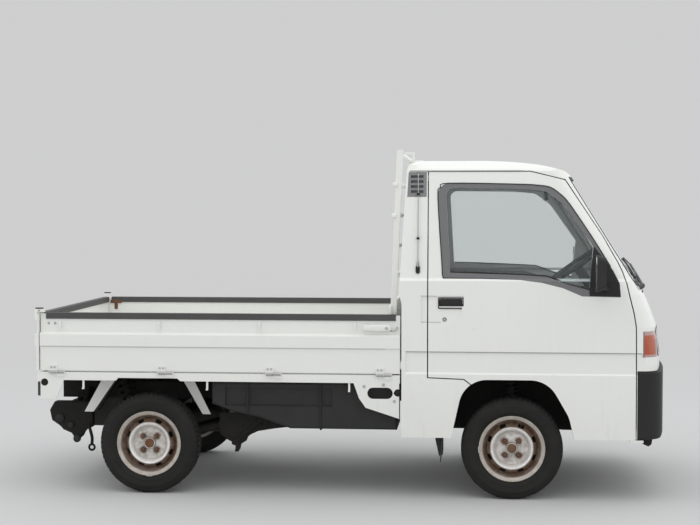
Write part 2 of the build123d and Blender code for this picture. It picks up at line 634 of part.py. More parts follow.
LASH_X = -592.0              # lashing hole in each bracket panel, ahead of the front axle
LASH_R = 11.0
with BuildPart() as bed_frame:
    sill_profile = [(-SILL_FACE, SILL_BOTTOM), (-SILL_FACE, SILL_TOP), (-FLOOR_HALF_WIDTH, SILL_TOP),
                    (-FLOOR_HALF_WIDTH, sheet_under), (-SILL_INNER, sheet_under),
                    (-SILL_INNER, SILL_TOP - 12), (-SILL_FACE + SHEET, SILL_TOP - 12),
                    (-SILL_FACE + SHEET, SILL_BOTTOM + SHEET), (-SILL_FACE + 30, SILL_BOTTOM + SHEET),
                    (-SILL_FACE + 30, SILL_BOTTOM)]
    sill = run_along_x(sill_profile, bed_rear, bed_front)
    # rear corner panel and the bracket panel by the cab, in the sill's face
    corner = run_along_y([(bed_rear, SILL_BOTTOM + 8), (bed_rear, 495), (rear(-485), 495),
                          (rear(-440), SILL_BOTTOM + 8)], -SILL_FACE, -SILL_FACE + SHEET)
    corner -= rod((rear(-544), -SILL_FACE - 20, 582), (rear(-544), -SILL_FACE + 20, 582), 6)
    bracket = run_along_y([(nose(-812), SILL_BOTTOM + 8), (nose(-781), 514), (nose(-747), 466),
                           (bed_front - 4, 411), (bed_front - 4, SILL_BOTTOM + 8)], -SILL_FACE,
                          -SILL_FACE + SHEET)
    bracket -= rod((nose(-709), -SILL_FACE - 20, 541), (nose(-709), -SILL_FACE + 20, 541), 29)
    bracket -= rod((nose(-637), -SILL_FACE - 20, 541), (nose(-637), -SILL_FACE + 20, 541), 29)
    bracket -= block(nose(-709), nose(-637), -SILL_FACE - 20, -SILL_FACE + 20, 512, 570)
    bracket -= rod((nose(LASH_X), -SILL_FACE - 20, 542), (nose(LASH_X), -SILL_FACE + 20, 542), LASH_R)
    relief = run_along_y([(rear(-178), 580), (rear(-154), SILL_BOTTOM + 14), (rear(157), SILL_BOTTOM + 14),
                          (rear(190), 580)], -SILL_FACE - 5, -SILL_FACE + 50)
    sill = sill + corner + bracket - relief
    for x in (-341.0, 314.0, 1053.0):
        hook_foot = SILL_BOTTOM - 46
        stem = block(rear(x) - 5, rear(x) + 5, -SILL_FACE + 6, -SILL_FACE + 12, hook_foot, SILL_BOTTOM + 2)
        toe = block(rear(x) - 5, rear(x) + 5, -SILL_FACE - 4, -SILL_FACE + 12, hook_foot, hook_foot + 8)
        sill = sill + stem + toe
    add(both_sides(sill))
    # rear sill below the rear gate
    add(block(bed_rear - 18, bed_rear + 26, -SILL_FACE, SILL_FACE, SILL_BOTTOM - 4, SILL_TOP))
    add(both_sides(block(bed_rear, bed_rear + SHEET, -SILL_FACE, -500, 495, SILL_BOTTOM)))
save(bed_frame, "bed_frame")

# Guard frame: two leaning posts, cross bars before the rear window and the headboard between them
foot = nose(-POST_X)
foot_z = STRIP_TOP + SEAT
BAR_LEVELS = [1130.0, 1290.0, 1450.0, 1610.0, GUARD_TOP - 16.0]
BAR_R = 12.0
BOARD_STEP = 10.0            # of the headboard's pressed ribs


def up_post(level):
    """Rear face of the leaning posts at a height."""
    return foot + (level - foot_z) * sin(POST_LEAN)


post_top = up_post(GUARD_TOP)
hook_from = post_top + POST_DEPTH
with BuildPart() as guard_frame:
    post_line = [(foot, foot_z), (foot + POST_DEPTH, foot_z), (hook_from, GUARD_TOP), (post_top, GUARD_TOP)]
    add(both_sides(run_along_y(post_line, -POST_Y - POST_WIDTH / 2, -POST_Y + POST_WIDTH / 2)))
    # rope hook ahead of each post's top
    hook_top = GUARD_TOP - 12
    hook_to = hook_from + 60
    add(both_sides(block(hook_from - 2, hook_to, -POST_Y - 10, -POST_Y + 10, hook_top - 12, hook_top)))
    add(both_sides(block(hook_to - 12, hook_to, -POST_Y - 10, -POST_Y + 10, hook_top - 54, hook_top)))
    for level in BAR_LEVELS:
        along = up_post(level) + POST_DEPTH / 2
        add(rod((along, -POST_Y, level), (along, POST_Y, level), BAR_R))
    # headboard with two pressed ribs
    board = [(foot, foot_z), (foot, 740), (foot - BOARD_STEP, 750), (foot - BOARD_STEP, 790), (foot, 800),
             (foot, 860), (foot - BOARD_STEP, 870), (foot - BOARD_STEP, 910), (foot, 920),
             (foot + 5, HEADBOARD_TOP), (foot + 18, HEADBOARD_TOP), (foot + 14, foot_z)]
    add(run_along_y(board, -FLOOR_HALF_WIDTH + GAP, FLOOR_HALF_WIDTH - GAP))
save(guard_frame, "guard_frame")

# Gates: one rolled profile, seen along the gate: distance out from the truck's middle, height
BAND_BOTTOM = 768.0
BAND_TOP = 832.0
HINGE_Z = 635.0


def gate_profile(face, inner):
    """Outline of a gate's cross-section, from its lower inside corner round to its upper inside one."""
    return [(inner, GATE_BOTTOM), (face - 7.5, GATE_BOTTOM), (face - 7.5, BAND_BOTTOM),
            (face, BAND_BOTTOM + 4), (face, BAND_TOP), (face - 22, BAND_TOP + 12), (face - 22, GATE_TOP),
            (inner, GATE_TOP)]


SIDE_HINGES = [-477.0, 98.0, 663.0, 1232.0]
ROPE_HOOKS = [-461.0, 62.0, 588.0, 1082.0]
with BuildPart() as side_gate_right:
    add(run_along_x([(-y, z) for y, z in gate_profile(BODY_HALF, GATE_INNER)], bed_rear, bed_front))
    for x in SIDE_HINGES:
        knuckle = rear(x) - HINGE_WIDTH - SEAT / 2
        add(rod((knuckle, -BODY_HALF, HINGE_Z), (knuckle + HINGE_WIDTH, -BODY_HALF, HINGE_Z), HINGE_R))
        add(block(knuckle, knuckle + HINGE_WIDTH, -BODY_HALF, -BODY_HALF + 12, HINGE_Z, GATE_BOTTOM + 30))
    for x in ROPE_HOOKS:
        face = -BODY_HALF + 22
        add(block(rear(x) - 6, rear(x) + 6, face - 14, face, 892, 900))
        add(block(rear(x) - 6, rear(x) + 6, face - 14, face - 8, 862, 900))
    # front latch lever
    lever = nose(-GATE_FRONT - 193)
    add(block(lever, lever + 147, -BODY_HALF + 8, -BODY_HALF + 14, 862, 894))
    add(block(lever + 96, lever + 140, -BODY_HALF + 14, -BODY_HALF + 22, 866, 890))
save(side_gate_right, "side_gate_right")

with BuildPart() as side_gate_left:
    add(side_gate_right.part.mirror(Plane.XZ))
save(side_gate_left, "side_gate_left")

REAR_FACE = 594.0            # outer face of the rear gate behind the rear axle
REAR_HINGES = [-520.0, -180.0, 180.0, 520.0]
LATCH_WIDTH = 27.0
LATCH_BOTTOM = GATE_TOP + 8
with BuildPart() as rear_gate:
    face = rear(-REAR_FACE)
    back_profile = [(face + 21, GATE_BOTTOM), (face + 7.5, GATE_BOTTOM), (face + 7.5, BAND_BOTTOM),
                    (face, BAND_BOTTOM + 4), (face, BAND_TOP), (face + 14, BAND_TOP + 12),
                    (face + 14, GATE_TOP), (face + 21, GATE_TOP)]
    add(run_along_y(back_profile, -BODY_HALF, BODY_HALF))
    for y in REAR_HINGES:
        inner_end = y - SEAT / 2
        add(rod((face, inner_end - HINGE_WIDTH, HINGE_Z), (face, inner_end, HINGE_Z), HINGE_R))
        add(block(face, face + 12, inner_end - HINGE_WIDTH, inner_end, HINGE_Z, GATE_BOTTOM + 30))
    # inner panel, and at each end a latch plate over the side gate on its own post
    add(block(face + 21 + SEAT, face + 38, -FLOOR_HALF_WIDTH, FLOOR_HALF_WIDTH, GATE_BOTTOM + 16, GATE_TOP))
    latch_y = -BODY_HALF + LATCH_WIDTH
    add(both_sides(block(face, face + 14 - SEAT, -BODY_HALF, latch_y, GATE_TOP - 30, LATCH_BOTTOM - SEAT)))
    add(both_sides(block(face, face + 49, -BODY_HALF, latch_y, LATCH_BOTTOM, LATCH_BOTTOM + 18)))
save(rear_gate, "rear_gate")

# Rubber caps on the gates' top edges
with BuildPart() as gate_trim_right:
    out, inner = BODY_HALF - 22, GATE_INNER
    cap = [(-out - TRIM_WALL, TRIM_BOTTOM), (-out - TRIM_WALL, GATE_TOP + TRIM_WALL),
           (-inner + TRIM_WALL, GATE_TOP + TRIM_WALL), (-inner + TRIM_WALL, TRIM_BOTTOM),
           (-inner, TRIM_BOTTOM), (-inner, GATE_TOP), (-out, GATE_TOP), (-out, TRIM_BOTTOM)]
    add(run_along_x(cap, bed_rear + 30, bed_front - 22))
save(gate_trim_right, "gate_trim_right")
with BuildPart() as gate_trim_left:
    add(gate_trim_right.part.mirror(Plane.XZ))
save(gate_trim_left, "gate_trim_left")
with BuildPart() as gate_trim_rear:
    face = rear(-REAR_FACE)
    cap = [(face + 14 - TRIM_WALL, TRIM_BOTTOM), (face + 14 - TRIM_WALL, GATE_TOP + TRIM_WALL),
           (face + 38 + TRIM_WALL, GATE_TOP + TRIM_WALL), (face + 38 + TRIM_WALL, TRIM_BOTTOM),
           (face + 38, TRIM_BOTTOM), (face + 38, GATE_TOP), (face + 14, GATE_TOP), (face + 14, TRIM_BOTTOM)]
    add(run_along_y(cap, -FLOOR_HALF_WIDTH + 6, FLOOR_HALF_WIDTH - 6))
save(gate_trim_rear, "gate_trim_rear")

# Hinge knuckles on the bed frame
with BuildPart() as bed_hinges:
    for x in SIDE_HINGES:
        start = rear(x) + SEAT / 2
        one = (rod((start, -BODY_HALF, HINGE_Z), (start + HINGE_WIDTH, -BODY_HALF, HINGE_Z), HINGE_R)
               + block(start, start + HINGE_WIDTH, -BODY_HALF, -SILL_FACE, HINGE_Z - 22, HINGE_Z - 2))
        add(both_sides(one))
    for y in REAR_HINGES:
        start = y + SEAT / 2
        end = start + HINGE_WIDTH
        add(rod((rear(-REAR_FACE), start, HINGE_Z), (rear(-REAR_FACE), end, HINGE_Z), HINGE_R))
        add(block(rear(-REAR_FACE), bed_rear - 18, start, end, HINGE_Z - 22, HINGE_Z - 2))
save(bed_hinges, "bed_hinges")

# White braces before and behind each rear wheel, each a plate with a flange on the wheel's side
BRACE_Y = 500.0
BRACES = [((-277, 598), (-200, 598), (-337, 401), (-386, 401)),
          ((198, 598), (137, 598), (255, 395), (299, 395))]
with BuildPart() as rear_braces:
    for outer_top, inner_top, inner_low, outer_low in BRACES:
        corners = [(rear(x), z) for x, z in (outer_top, inner_top, inner_low, outer_low)]
        plate = run_along_y(corners, -BRACE_Y - SHEET, -BRACE_Y)
        away = SHEET if outer_top[0] > inner_top[0] else -SHEET
        flange = [corners[1], corners[2], (corners[2][0] + away, corners[2][1]),
                  (corners[1][0] + away, corners[1][1])]
        add(both_sides(plate + run_along_y(flange, -BRACE_Y - SHEET, -BRACE_Y + 50)))
save(rear_braces, "rear_braces")

with BuildPart() as rear_wheel_liners:
    arch = [(-330, 405), (-222, 580), (-150, 590), (120, 590), (170, 580), (262, 405)]
    inner_line = [(x * 0.985, z - 5) for x, z in reversed(arch)]
    liner = run_along_y([(rear(x), z) for x, z in arch + inner_line], -BRACE_Y + 50 + SEAT, -BRACE_Y + 94)
    add(both_sides(liner))
save(rear_wheel_liners, "rear_wheel_liners")

# Fuel tank with its recessed band, slung under the right of the bed
TANK_FRONT = WHEELBASE - 589   # front end ahead of the rear axle
TANK_OUTLINE = [(330, 588), (TANK_FRONT, 588), (TANK_FRONT, 345), (742, 345), (575, 402), (440, 430),
                (330, 470)]
with BuildPart() as fuel_tank:
    add(run_along_y([(rear(x), z) for x, z in TANK_OUTLINE], -640, -RAIL_OUT - SEAT))
    outside = fuel_tank.faces().sort_by(Axis.Y)[0]
    fillet(outside.edges(), 14)
    add(block(rear(401), rear(961), -641, -628, 462, 556), mode=Mode.SUBTRACT)
save(fuel_tank, "fuel_tank")

# Chassis: two rails that drop under the cab, with cross members and the posts that carry bed and cab
with BuildPart() as chassis_frame:
    rail_line = [(rear(-552), RAIL_TOP), (nose(150), RAIL_TOP), (nose(300), NOSE_RAIL_TOP),
                 (nose(RAIL_FRONT), NOSE_RAIL_TOP), (nose(RAIL_FRONT), 310), (nose(272), 310),
                 (nose(120), RAIL_BOTTOM), (rear(-552), RAIL_BOTTOM)]
    add(both_sides(run_along_y(rail_line, -RAIL_OUT, -RAIL_OUT + RAIL_WIDTH)))
    # front tow hook
    add(block(nose(652), nose(708), -RAIL_OUT + 20, -RAIL_OUT + 34, 276, 311))
    add(rod((nose(680), -RAIL_OUT + 10, 292), (nose(680), -RAIL_OUT + 44, 292), 9), mode=Mode.SUBTRACT)
save(chassis_frame, "chassis_frame")

RAIL_INNER = RAIL_OUT - RAIL_WIDTH
with BuildPart() as chassis_cross_members:
    half = RAIL_INNER - SEAT
    for x in (-530.0, 300.0, 700.0, WHEELBASE - 735):
        add(block(rear(x) - 22, rear(x) + 22, -half, half, RAIL_BOTTOM + 10, RAIL_TOP - 10))
    for x in (420.0, RAIL_FRONT - 18):
        add(block(nose(x) - 22, nose(x) + 22, -half, half, 318, NOSE_RAIL_TOP - 8))
save(chassis_cross_members, "chassis_cross_members")

# Posts on the rails: ahead of the rear axle, from the rail's top to what it carries
BODY_MOUNTS = [(BED_BEAMS[0], RAIL_TOP, BEAM_BOTTOM), (BED_BEAMS[3], RAIL_TOP, BEAM_BOTTOM),
               (BED_BEAMS[6], RAIL_TOP, BEAM_BOTTOM), (WHEELBASE - 460, RAIL_TOP, SEAT_DECK - DECK_SHEET),
               (WHEELBASE + 440, NOSE_RAIL_TOP, FLOOR_TOP - DECK_SHEET)]
with BuildPart() as body_mounts:
    outside, inside = -RAIL_OUT + 5, -RAIL_INNER - 5
    for x, low, high in BODY_MOUNTS:
        add(both_sides(block(rear(x) - 20, rear(x) + 20, outside, inside, low + SEAT, high - SEAT)))
save(body_mounts, "body_mounts")

# Engine as a plain block behind the axle, with gearbox, final drive and drive shafts
AXLE_Z = TYRE_R
HUB_FACE = 27.0              # wheel's mounting face outside the tyre's middle plane
DRUM_BACK = TRACK_HALF + HUB_FACE - 4 - DRUM_DEPTH
PLATE_OUT = DRUM_BACK - 5
with BuildPart() as powertrain:
    add(block(rear(-430), rear(-150), -235, 235, 285, 535))
    fillet(powertrain.edges().filter_by(Axis.Y), 25)
    add(block(rear(-151), rear(70), -130, 130, 200, 400))
    add(rod((rear(60), 0, 300), (rear(330), 0, 315), 85))
    add(rod((rear(0), -PLATE_OUT + 30 + SEAT, AXLE_Z), (rear(0), PLATE_OUT - 30 - SEAT, AXLE_Z), 13))
    add(both_sides(rod((rear(0), -175, AXLE_Z), (rear(0), -120, AXLE_Z), 38)))
    # mounts up to the chassis
    add(both_sides(block(rear(-330), rear(-270), -RAIL_OUT + RAIL_WIDTH + SEAT, -200, 480, 520)))
save(powertrain, "powertrain")

with BuildPart() as exhaust:
    add(rod((rear(-505), -250, 365), (rear(-505), 230, 365), 62))
    chamfer(exhaust.edges(), 12)
    add(rod((rear(-505), -180, 365), (rear(-430) - SEAT, -180, 365), 18))
    add(rod((rear(-540), 180, 345), (rear(-560), 180, 300), 17))
    add(both_sides(block(rear(-515), rear(-495), -180, -160, 420, RAIL_BOTTOM + 10 - SEAT)))
save(exhaust, "exhaust")

with BuildPart() as rear_suspension:
    hub = (rod((rear(0), -470, AXLE_Z), (rear(0), -PLATE_OUT + 5, AXLE_Z), 42)
           + rod((rear(0), -PLATE_OUT + 5, AXLE_Z), (rear(0), -PLATE_OUT, AXLE_Z), 96)
           + rod((rear(0), -PLATE_OUT, AXLE_Z), (rear(0), -DRUM_BACK - STUB_REACH, AXLE_Z), STUB_R))
    arms = (rod((rear(0), -490, AXLE_Z), (rear(350), -440, 330), 22)
            + rod((rear(0), -490, AXLE_Z), (rear(350), -190, 330), 22)
            + rod((rear(350), -450, 330), (rear(350), -170, 330), 26))
    pivot = block(rear(335), rear(365), -RAIL_OUT + 5, -RAIL_OUT + RAIL_WIDTH - 5, 330, RAIL_BOTTOM - SEAT)
    damper = rod((rear(-60), -470, 250), (rear(-215), -RAIL_OUT - 45, 592), 21)
    bore = rod((rear(0), -PLATE_OUT + 30, AXLE_Z), (rear(0), -100, AXLE_Z), 13 + SEAT)
    add(both_sides(hub + arms + pivot + damper - bore))
save(rear_suspension, "rear_suspension")

# Wheels: rim, pressed disc and drum, made about the axle with the outer side towards -Y
WELL_HALF = 14.0             # half the well's flat width
flange_r = BEAD_R + RIM_FLANGE
bead_edge = -RIM_HALF + 10
RIM_EDGE = [(flange_r, -RIM_HALF), (flange_r, -RIM_HALF + 4), (BEAD_R + 4, bead_edge - 4),
            (BEAD_R, bead_edge), (BEAD_R, bead_edge + 20), (WELL_R, -WELL_HALF)]
rim_outside = RIM_EDGE + [(r, -y) for r, y in reversed(RIM_EDGE)]
rim_inside = [(r - RIM_WALL, y) for r, y in reversed(rim_outside) if abs(y) != RIM_HALF - 4]
seat_r = WELL_R - RIM_WALL + 0.5     # disc's edge, let into the well's wall
DISC_OUTSIDE = [(seat_r, 4), (seat_r, -14), (126, -27), (116, -39), (106, -44), (97, -41), (86, -27),
                (72, -24), (44, -HUB_FACE), (0, -HUB_FACE - 2)]
DISC_INSIDE = [(0, -22), (44, -22), (74, -19), (88, -22), (99, -36), (106, -39), (114, -35), (122, -24),
               (seat_r - RIM_WALL, -11), (seat_r - RIM_WALL, 4)]
with BuildPart() as wheel:
    with BuildSketch(Plane.XY):
        with BuildLine():
            Polyline(rim_outside + rim_inside, close=True)
        make_face()
        with BuildLine():
            Polyline(DISC_OUTSIDE + DISC_INSIDE, close=True)
        make_face()
    revolve(axis=Axis.Y)
    # slots through the sloping ring outside the bowl
    with BuildSketch(Plane.XZ.offset(60)):
        with PolarLocations(DISC_R, SLOT_COUNT, start_angle=22.5):
            SlotOverall(SLOT_LENGTH, SLOT_WIDTH, rotation=90)
    extrude(amount=-52, mode=Mode.SUBTRACT)
    # wheel nuts and centre cap
    with BuildSketch(Plane.XZ.offset(HUB_FACE - 3)):
        with PolarLocations(LUG_PCD / 2, LUG_COUNT, start_angle=45):
            RegularPolygon(LUG_NUT_R, 6)
    extrude(amount=17)
    with BuildSketch(Plane.XZ.offset(HUB_FACE - 2)):
        Circle(CAP_R)
    extrude(amount=15, taper=8)
    # brake drum with the stub axle's bore
    with BuildSketch(Plane.XZ.offset(HUB_FACE - 5)):
        Circle(DRUM_R)
    extrude(amount=-DRUM_DEPTH + 1)
    with BuildSketch(Plane.XZ.offset(HUB_FACE - 4 - DRUM_DEPTH)):
        Circle(STUB_R + RUN)
    extrude(amount=STUB_REACH + 2, mode=Mode.SUBTRACT)

wide = TYRE_WIDTH / 2
TYRE_EDGE = [(BEAD_R, bead_edge + 10), (BEAD_R, bead_edge), (BEAD_R + 4, bead_edge - 4),
             (flange_r + 2, 20 - wide), (flange_r + 21, 5 - wide), (flange_r + 39, -wide),
             (TYRE_R - 32, 2 - wide), (TYRE_R - 14, 11 - wide), (TYRE_R - 4.5, 19 - wide),
             (TYRE_R - 1.5, 30 - wide), (TYRE_R, 50 - wide)]
tyre_outside = TYRE_EDGE + [(r, -y) for r, y in reversed(TYRE_EDGE)]
CAVITY_EDGE = [(TYRE_R - TYRE_WALL, 38 - wide), (TYRE_R - 24, 23 - wide), (flange_r + 36, 12 - wide),
               (BEAD_R + 12, bead_edge + 8)]
cavity = [(r, -y) for r, y in reversed(CAVITY_EDGE)] + CAVITY_EDGE
with BuildPart() as tyre:
    with BuildSketch(Plane.XY):
        with BuildLine():
            Polyline(tyre_outside + cavity, close=True)
        make_face()
    revolve(axis=Axis.Y)

CORNERS = [("front_right", FRONT_AXLE, -1), ("front_left", FRONT_AXLE, 1),
           ("rear_right", REAR_AXLE, -1), ("rear_left", REAR_AXLE, 1)]
for corner_name, x, side in CORNERS:
    for piece, kind in ((wheel, "wheel_"), (tyre, "tyre_")):
        shape = piece.part if side < 0 else piece.part.mirror(Plane.XZ)
        with BuildPart() as placed:
            add(Pos(x, side * TRACK_HALF, AXLE_Z) * shape)
        save(placed, kind + corner_name)

# Front suspension: struts and lower arms, with a knuckle on each side that turns about the strut's line
STRUT_R = 20.0
STRUT_BOTTOM = 200.0
STRUT_TOP = 560.0
with BuildPart() as knuckle_right:
    add(rod((nose(0), -KINGPIN_Y, STRUT_BOTTOM), (nose(0), -KINGPIN_Y, STRUT_TOP), STRUT_R))
    add(rod((nose(0), -KINGPIN_Y + 8, AXLE_Z), (nose(0), -PLATE_OUT + 5, AXLE_Z), 34))
    add(rod((nose(0), -PLATE_OUT + 5, AXLE_Z), (nose(0), -PLATE_OUT, AXLE_Z), 96))
    add(rod((nose(0), -PLATE_OUT, AXLE_Z), (nose(0), -DRUM_BACK - STUB_REACH, AXLE_Z), STUB_R))
    add(rod((nose(0), -KINGPIN_Y, 235), (nose(-95), -KINGPIN_Y + 25, 235), 11))
save(knuckle_right, "knuckle_right")
with BuildPart() as knuckle_left:
    add(knuckle_right.part.mirror(Plane.XZ))
save(knuckle_left, "knuckle_left")

with BuildPart() as front_suspension:
    housing_top = 617 + HOUSING_GAP
    strut = (rod((nose(0), -KINGPIN_Y, STRUT_TOP + SEAT), (nose(0), -KINGPIN_Y, housing_top - 10), 10)
             + rod((nose(0), -KINGPIN_Y, housing_top - 18), (nose(0), -KINGPIN_Y, housing_top - SEAT), 42))
    add(both_sides(strut))
    arm = (rod((nose(0), -KINGPIN_Y, STRUT_BOTTOM - 26), (nose(0), -KINGPIN_Y, STRUT_BOTTOM - SEAT), 24)
           + rod((nose(0), -KINGPIN_Y, STRUT_BOTTOM - 17), (nose(0), -200, STRUT_BOTTOM - 4), 14)
           + rod((nose(0), -KINGPIN_Y + 20, STRUT_BOTTOM - 16), (nose(220), -240, STRUT_BOTTOM), 10))
    add(both_sides(arm))
    add(block(nose(-35), nose(35), -240, 240, 180, 235))
    add(both_sides(block(nose(-30), nose(30), -RAIL_OUT + 5, -230, 200, RAIL_BOTTOM - SEAT)))
    add(both_sides(block(nose(205), nose(235), -250, -225, 185, 345 - SEAT)))
save(front_suspension, "front_suspension")

with BuildPart() as mud_flaps:
    flap = run_along_y([(nose(-349), 400), (nose(-343), 400), (nose(-362), 185), (nose(-368), 185)],
                       -BODY_HALF + SIDE_WALL + SEAT, -490)
    add(both_sides(flap))
save(mud_flaps, "mud_flaps")

# Inside of the cab
cabin_form = cab_volume(SIDE_WALL + SEAT, NOSE_WALL + SEAT, BACK_WALL + SEAT, ROOF_WALL + SEAT)
DASH_OUTLINE = [(455, 905), (440, 985), (475, 1058), (640, 1070), (800, 1050), (800, 850), (560, 850)]
with BuildPart() as dashboard:
    add(run_along_y([(nose(x), z) for x, z in DASH_OUTLINE], -FLOOR_HALF, FLOOR_HALF))
    add(cabin_form, mode=Mode.INTERSECT)
    # clear of the doors' front edges
    add(both_sides(block(nose(430), nose(632), -FAR_SIDE, -618, 800, 1100)), mode=Mode.SUBTRACT)
save(dashboard, "dashboard")

lean_x = sin(STEERING_RAKE)
lean_z = cos(STEERING_RAKE)
WHEEL_CENTRE = (nose(340), STEERING_Y, 1190.0)


def down_column(distance):
    """Point on the steering column's line, below the steering wheel's centre."""
    x, y, z = WHEEL_CENTRE
    return (x + distance * lean_x, y, z - distance * lean_z)


with BuildPart() as steering_column:
    add(rod(down_column(28 + SEAT), down_column(330), COLUMN_R * 1.6))
    add(rod(down_column(300), (nose(640), STEERING_Y, FLOOR_TOP + 5), COLUMN_R))
    add(dashboard.part, mode=Mode.SUBTRACT)
save(steering_column, "steering_column")

with BuildPart() as steering_wheel:
    tilt = Plane(WHEEL_CENTRE, x_dir=(0, 1, 0), z_dir=(-lean_x, 0, lean_z))
    with BuildSketch(Plane(tilt.origin, x_dir=tilt.z_dir, z_dir=tilt.y_dir)):
        with Locations((0, -STEERING_WHEEL_R + STEERING_RIM_R)):
            RegularPolygon(STEERING_RIM_R, 8)
    revolve(axis=Axis(tilt.origin, tilt.z_dir))
    with BuildSketch(tilt.offset(-28)):
        Circle(52)
    extrude(amount=32, taper=6)
    with BuildSketch(tilt.offset(-12)):
        Rectangle(2 * (STEERING_WHEEL_R - STEERING_RIM_R), 34)
        with Locations((0, (STEERING_WHEEL_R - STEERING_RIM_R) / 2)):
            Rectangle(34, STEERING_WHEEL_R - STEERING_RIM_R)
    extrude(amount=10)
save(steering_wheel, "steering_wheel")

SEAT_OUTLINE = [(-508, SEAT_DECK + SEAT), (140, SEAT_DECK + SEAT), (165, 795), (130, 835), (-365, 812),
                (-412, 1360), (-440, 1388), (-478, 1384), (-508, 1010)]
with BuildPart() as driver_seat:
    add(run_along_y([(nose(x), z) for x, z in SEAT_OUTLINE], -600, -95))
    fillet(driver_seat.faces().sort_by(Axis.Y)[0].edges(), 24)
    fillet(driver_seat.faces().sort_by(Axis.Y)[-1].edges(), 24)
save(driver_seat, "driver_seat")
with BuildPart() as passenger_seat:
    add(driver_seat.part.mirror(Plane.XZ))
save(passenger_seat, "passenger_seat")

with BuildPart() as rear_lamps:
    lamp = block(rear(-REAR_FACE + 6), bed_rear - SEAT, -670, -530, 505, 580)
    add(both_sides(lamp))
    fillet(rear_lamps.edges().filter_by(Axis.X), 8)
save(rear_lamps, "rear_lamps")

with BuildPart() as wipers:
    for base in (-480.0, 60.0):
        foot = (nose(709 - base**2 / (2 * SCREEN_BOW_R) - 20), base, 1050)
        knee = (foot[0] + 44, base, 1078)
        joint = (foot[0] - 6, base + 70, 1136)
        tip = (foot[0] - 50, base + 330, 1150)
        add(rod(foot, knee, 13))
        add(rod(knee, joint, 9))
        add(rod(joint, tip, 6))
    add(clear_form, mode=Mode.SUBTRACT)
save(wipers, "wipers")
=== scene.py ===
import json
import math

import bmesh
import bpy
from mathutils import Matrix, Vector
from mathutils.bvhtree import BVHTree


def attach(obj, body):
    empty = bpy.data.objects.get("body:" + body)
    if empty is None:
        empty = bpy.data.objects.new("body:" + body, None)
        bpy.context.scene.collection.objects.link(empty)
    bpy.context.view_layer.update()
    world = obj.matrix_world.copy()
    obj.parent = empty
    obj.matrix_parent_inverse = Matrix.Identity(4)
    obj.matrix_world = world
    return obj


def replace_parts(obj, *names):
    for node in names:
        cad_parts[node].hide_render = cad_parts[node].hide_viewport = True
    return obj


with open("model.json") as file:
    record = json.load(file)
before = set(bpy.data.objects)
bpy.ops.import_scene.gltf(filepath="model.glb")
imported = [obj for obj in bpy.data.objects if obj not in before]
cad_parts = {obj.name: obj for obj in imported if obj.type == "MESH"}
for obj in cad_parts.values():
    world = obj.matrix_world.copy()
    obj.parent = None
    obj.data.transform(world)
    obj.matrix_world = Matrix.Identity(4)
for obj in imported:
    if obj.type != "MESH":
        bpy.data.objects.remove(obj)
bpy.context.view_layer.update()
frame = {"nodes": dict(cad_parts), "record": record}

# Places and sizes in metres: +X is the truck's front, +Y its left, +Z up
FRONT_AXLE = 0.835
REAR_AXLE = -1.050
AXLE_Z = 0.260
TRACK_HALF = 0.605
BODY_HALF = 0.6975
BELT_Z = 1.133
CAB_LEAN = 0.12744
SCREEN_BOW, NOSE_BOW = 3.075, 3.095
MIDDLE = (FRONT_AXLE + REAR_AXLE) / 2
HALF_BASE = (FRONT_AXLE - REAR_AXLE) / 2


def ahead(x):
    """Station x ahead of the front axle."""
    return FRONT_AXLE + x


def behind(x):
    """Station x ahead of the rear axle."""
    return REAR_AXLE + x


class Wire:
    """A number that changes over a surface, for use in sums and products."""

    def __init__(self, tree, socket):
        self.tree = tree
        self.socket = socket

    def maths(self, operation, *values):
        node = self.tree.nodes.new("ShaderNodeMath")
        node.operation = operation
        for place, value in zip(node.inputs, values):
            if isinstance(value, Wire):
                self.tree.links.new(value.socket, place)
            else:
                place.default_value = value
        return Wire(self.tree, node.outputs[0])

    def clamp(self):
        node = self.maths("ADD", self, 0.0)
        node.socket.node.use_clamp = True
        return node

    def highest(self, other):
        return self.maths("MAXIMUM", self, other)

    def __add__(self, other):
        return self.maths("ADD", self, other)

    def __sub__(self, other):
        return self.maths("SUBTRACT", self, other)

    def __rsub__(self, other):
        return self.maths("SUBTRACT", other, self)

    def __mul__(self, other):
        return self.maths("MULTIPLY", self, other)

    def __truediv__(self, other):
        return self.maths("DIVIDE", self, other)

    def __pow__(self, other):
        return self.maths("POWER", self, other)

    def __abs__(self):
        return self.maths("ABSOLUTE", self)

    __radd__ = __add__
    __rmul__ = __mul__


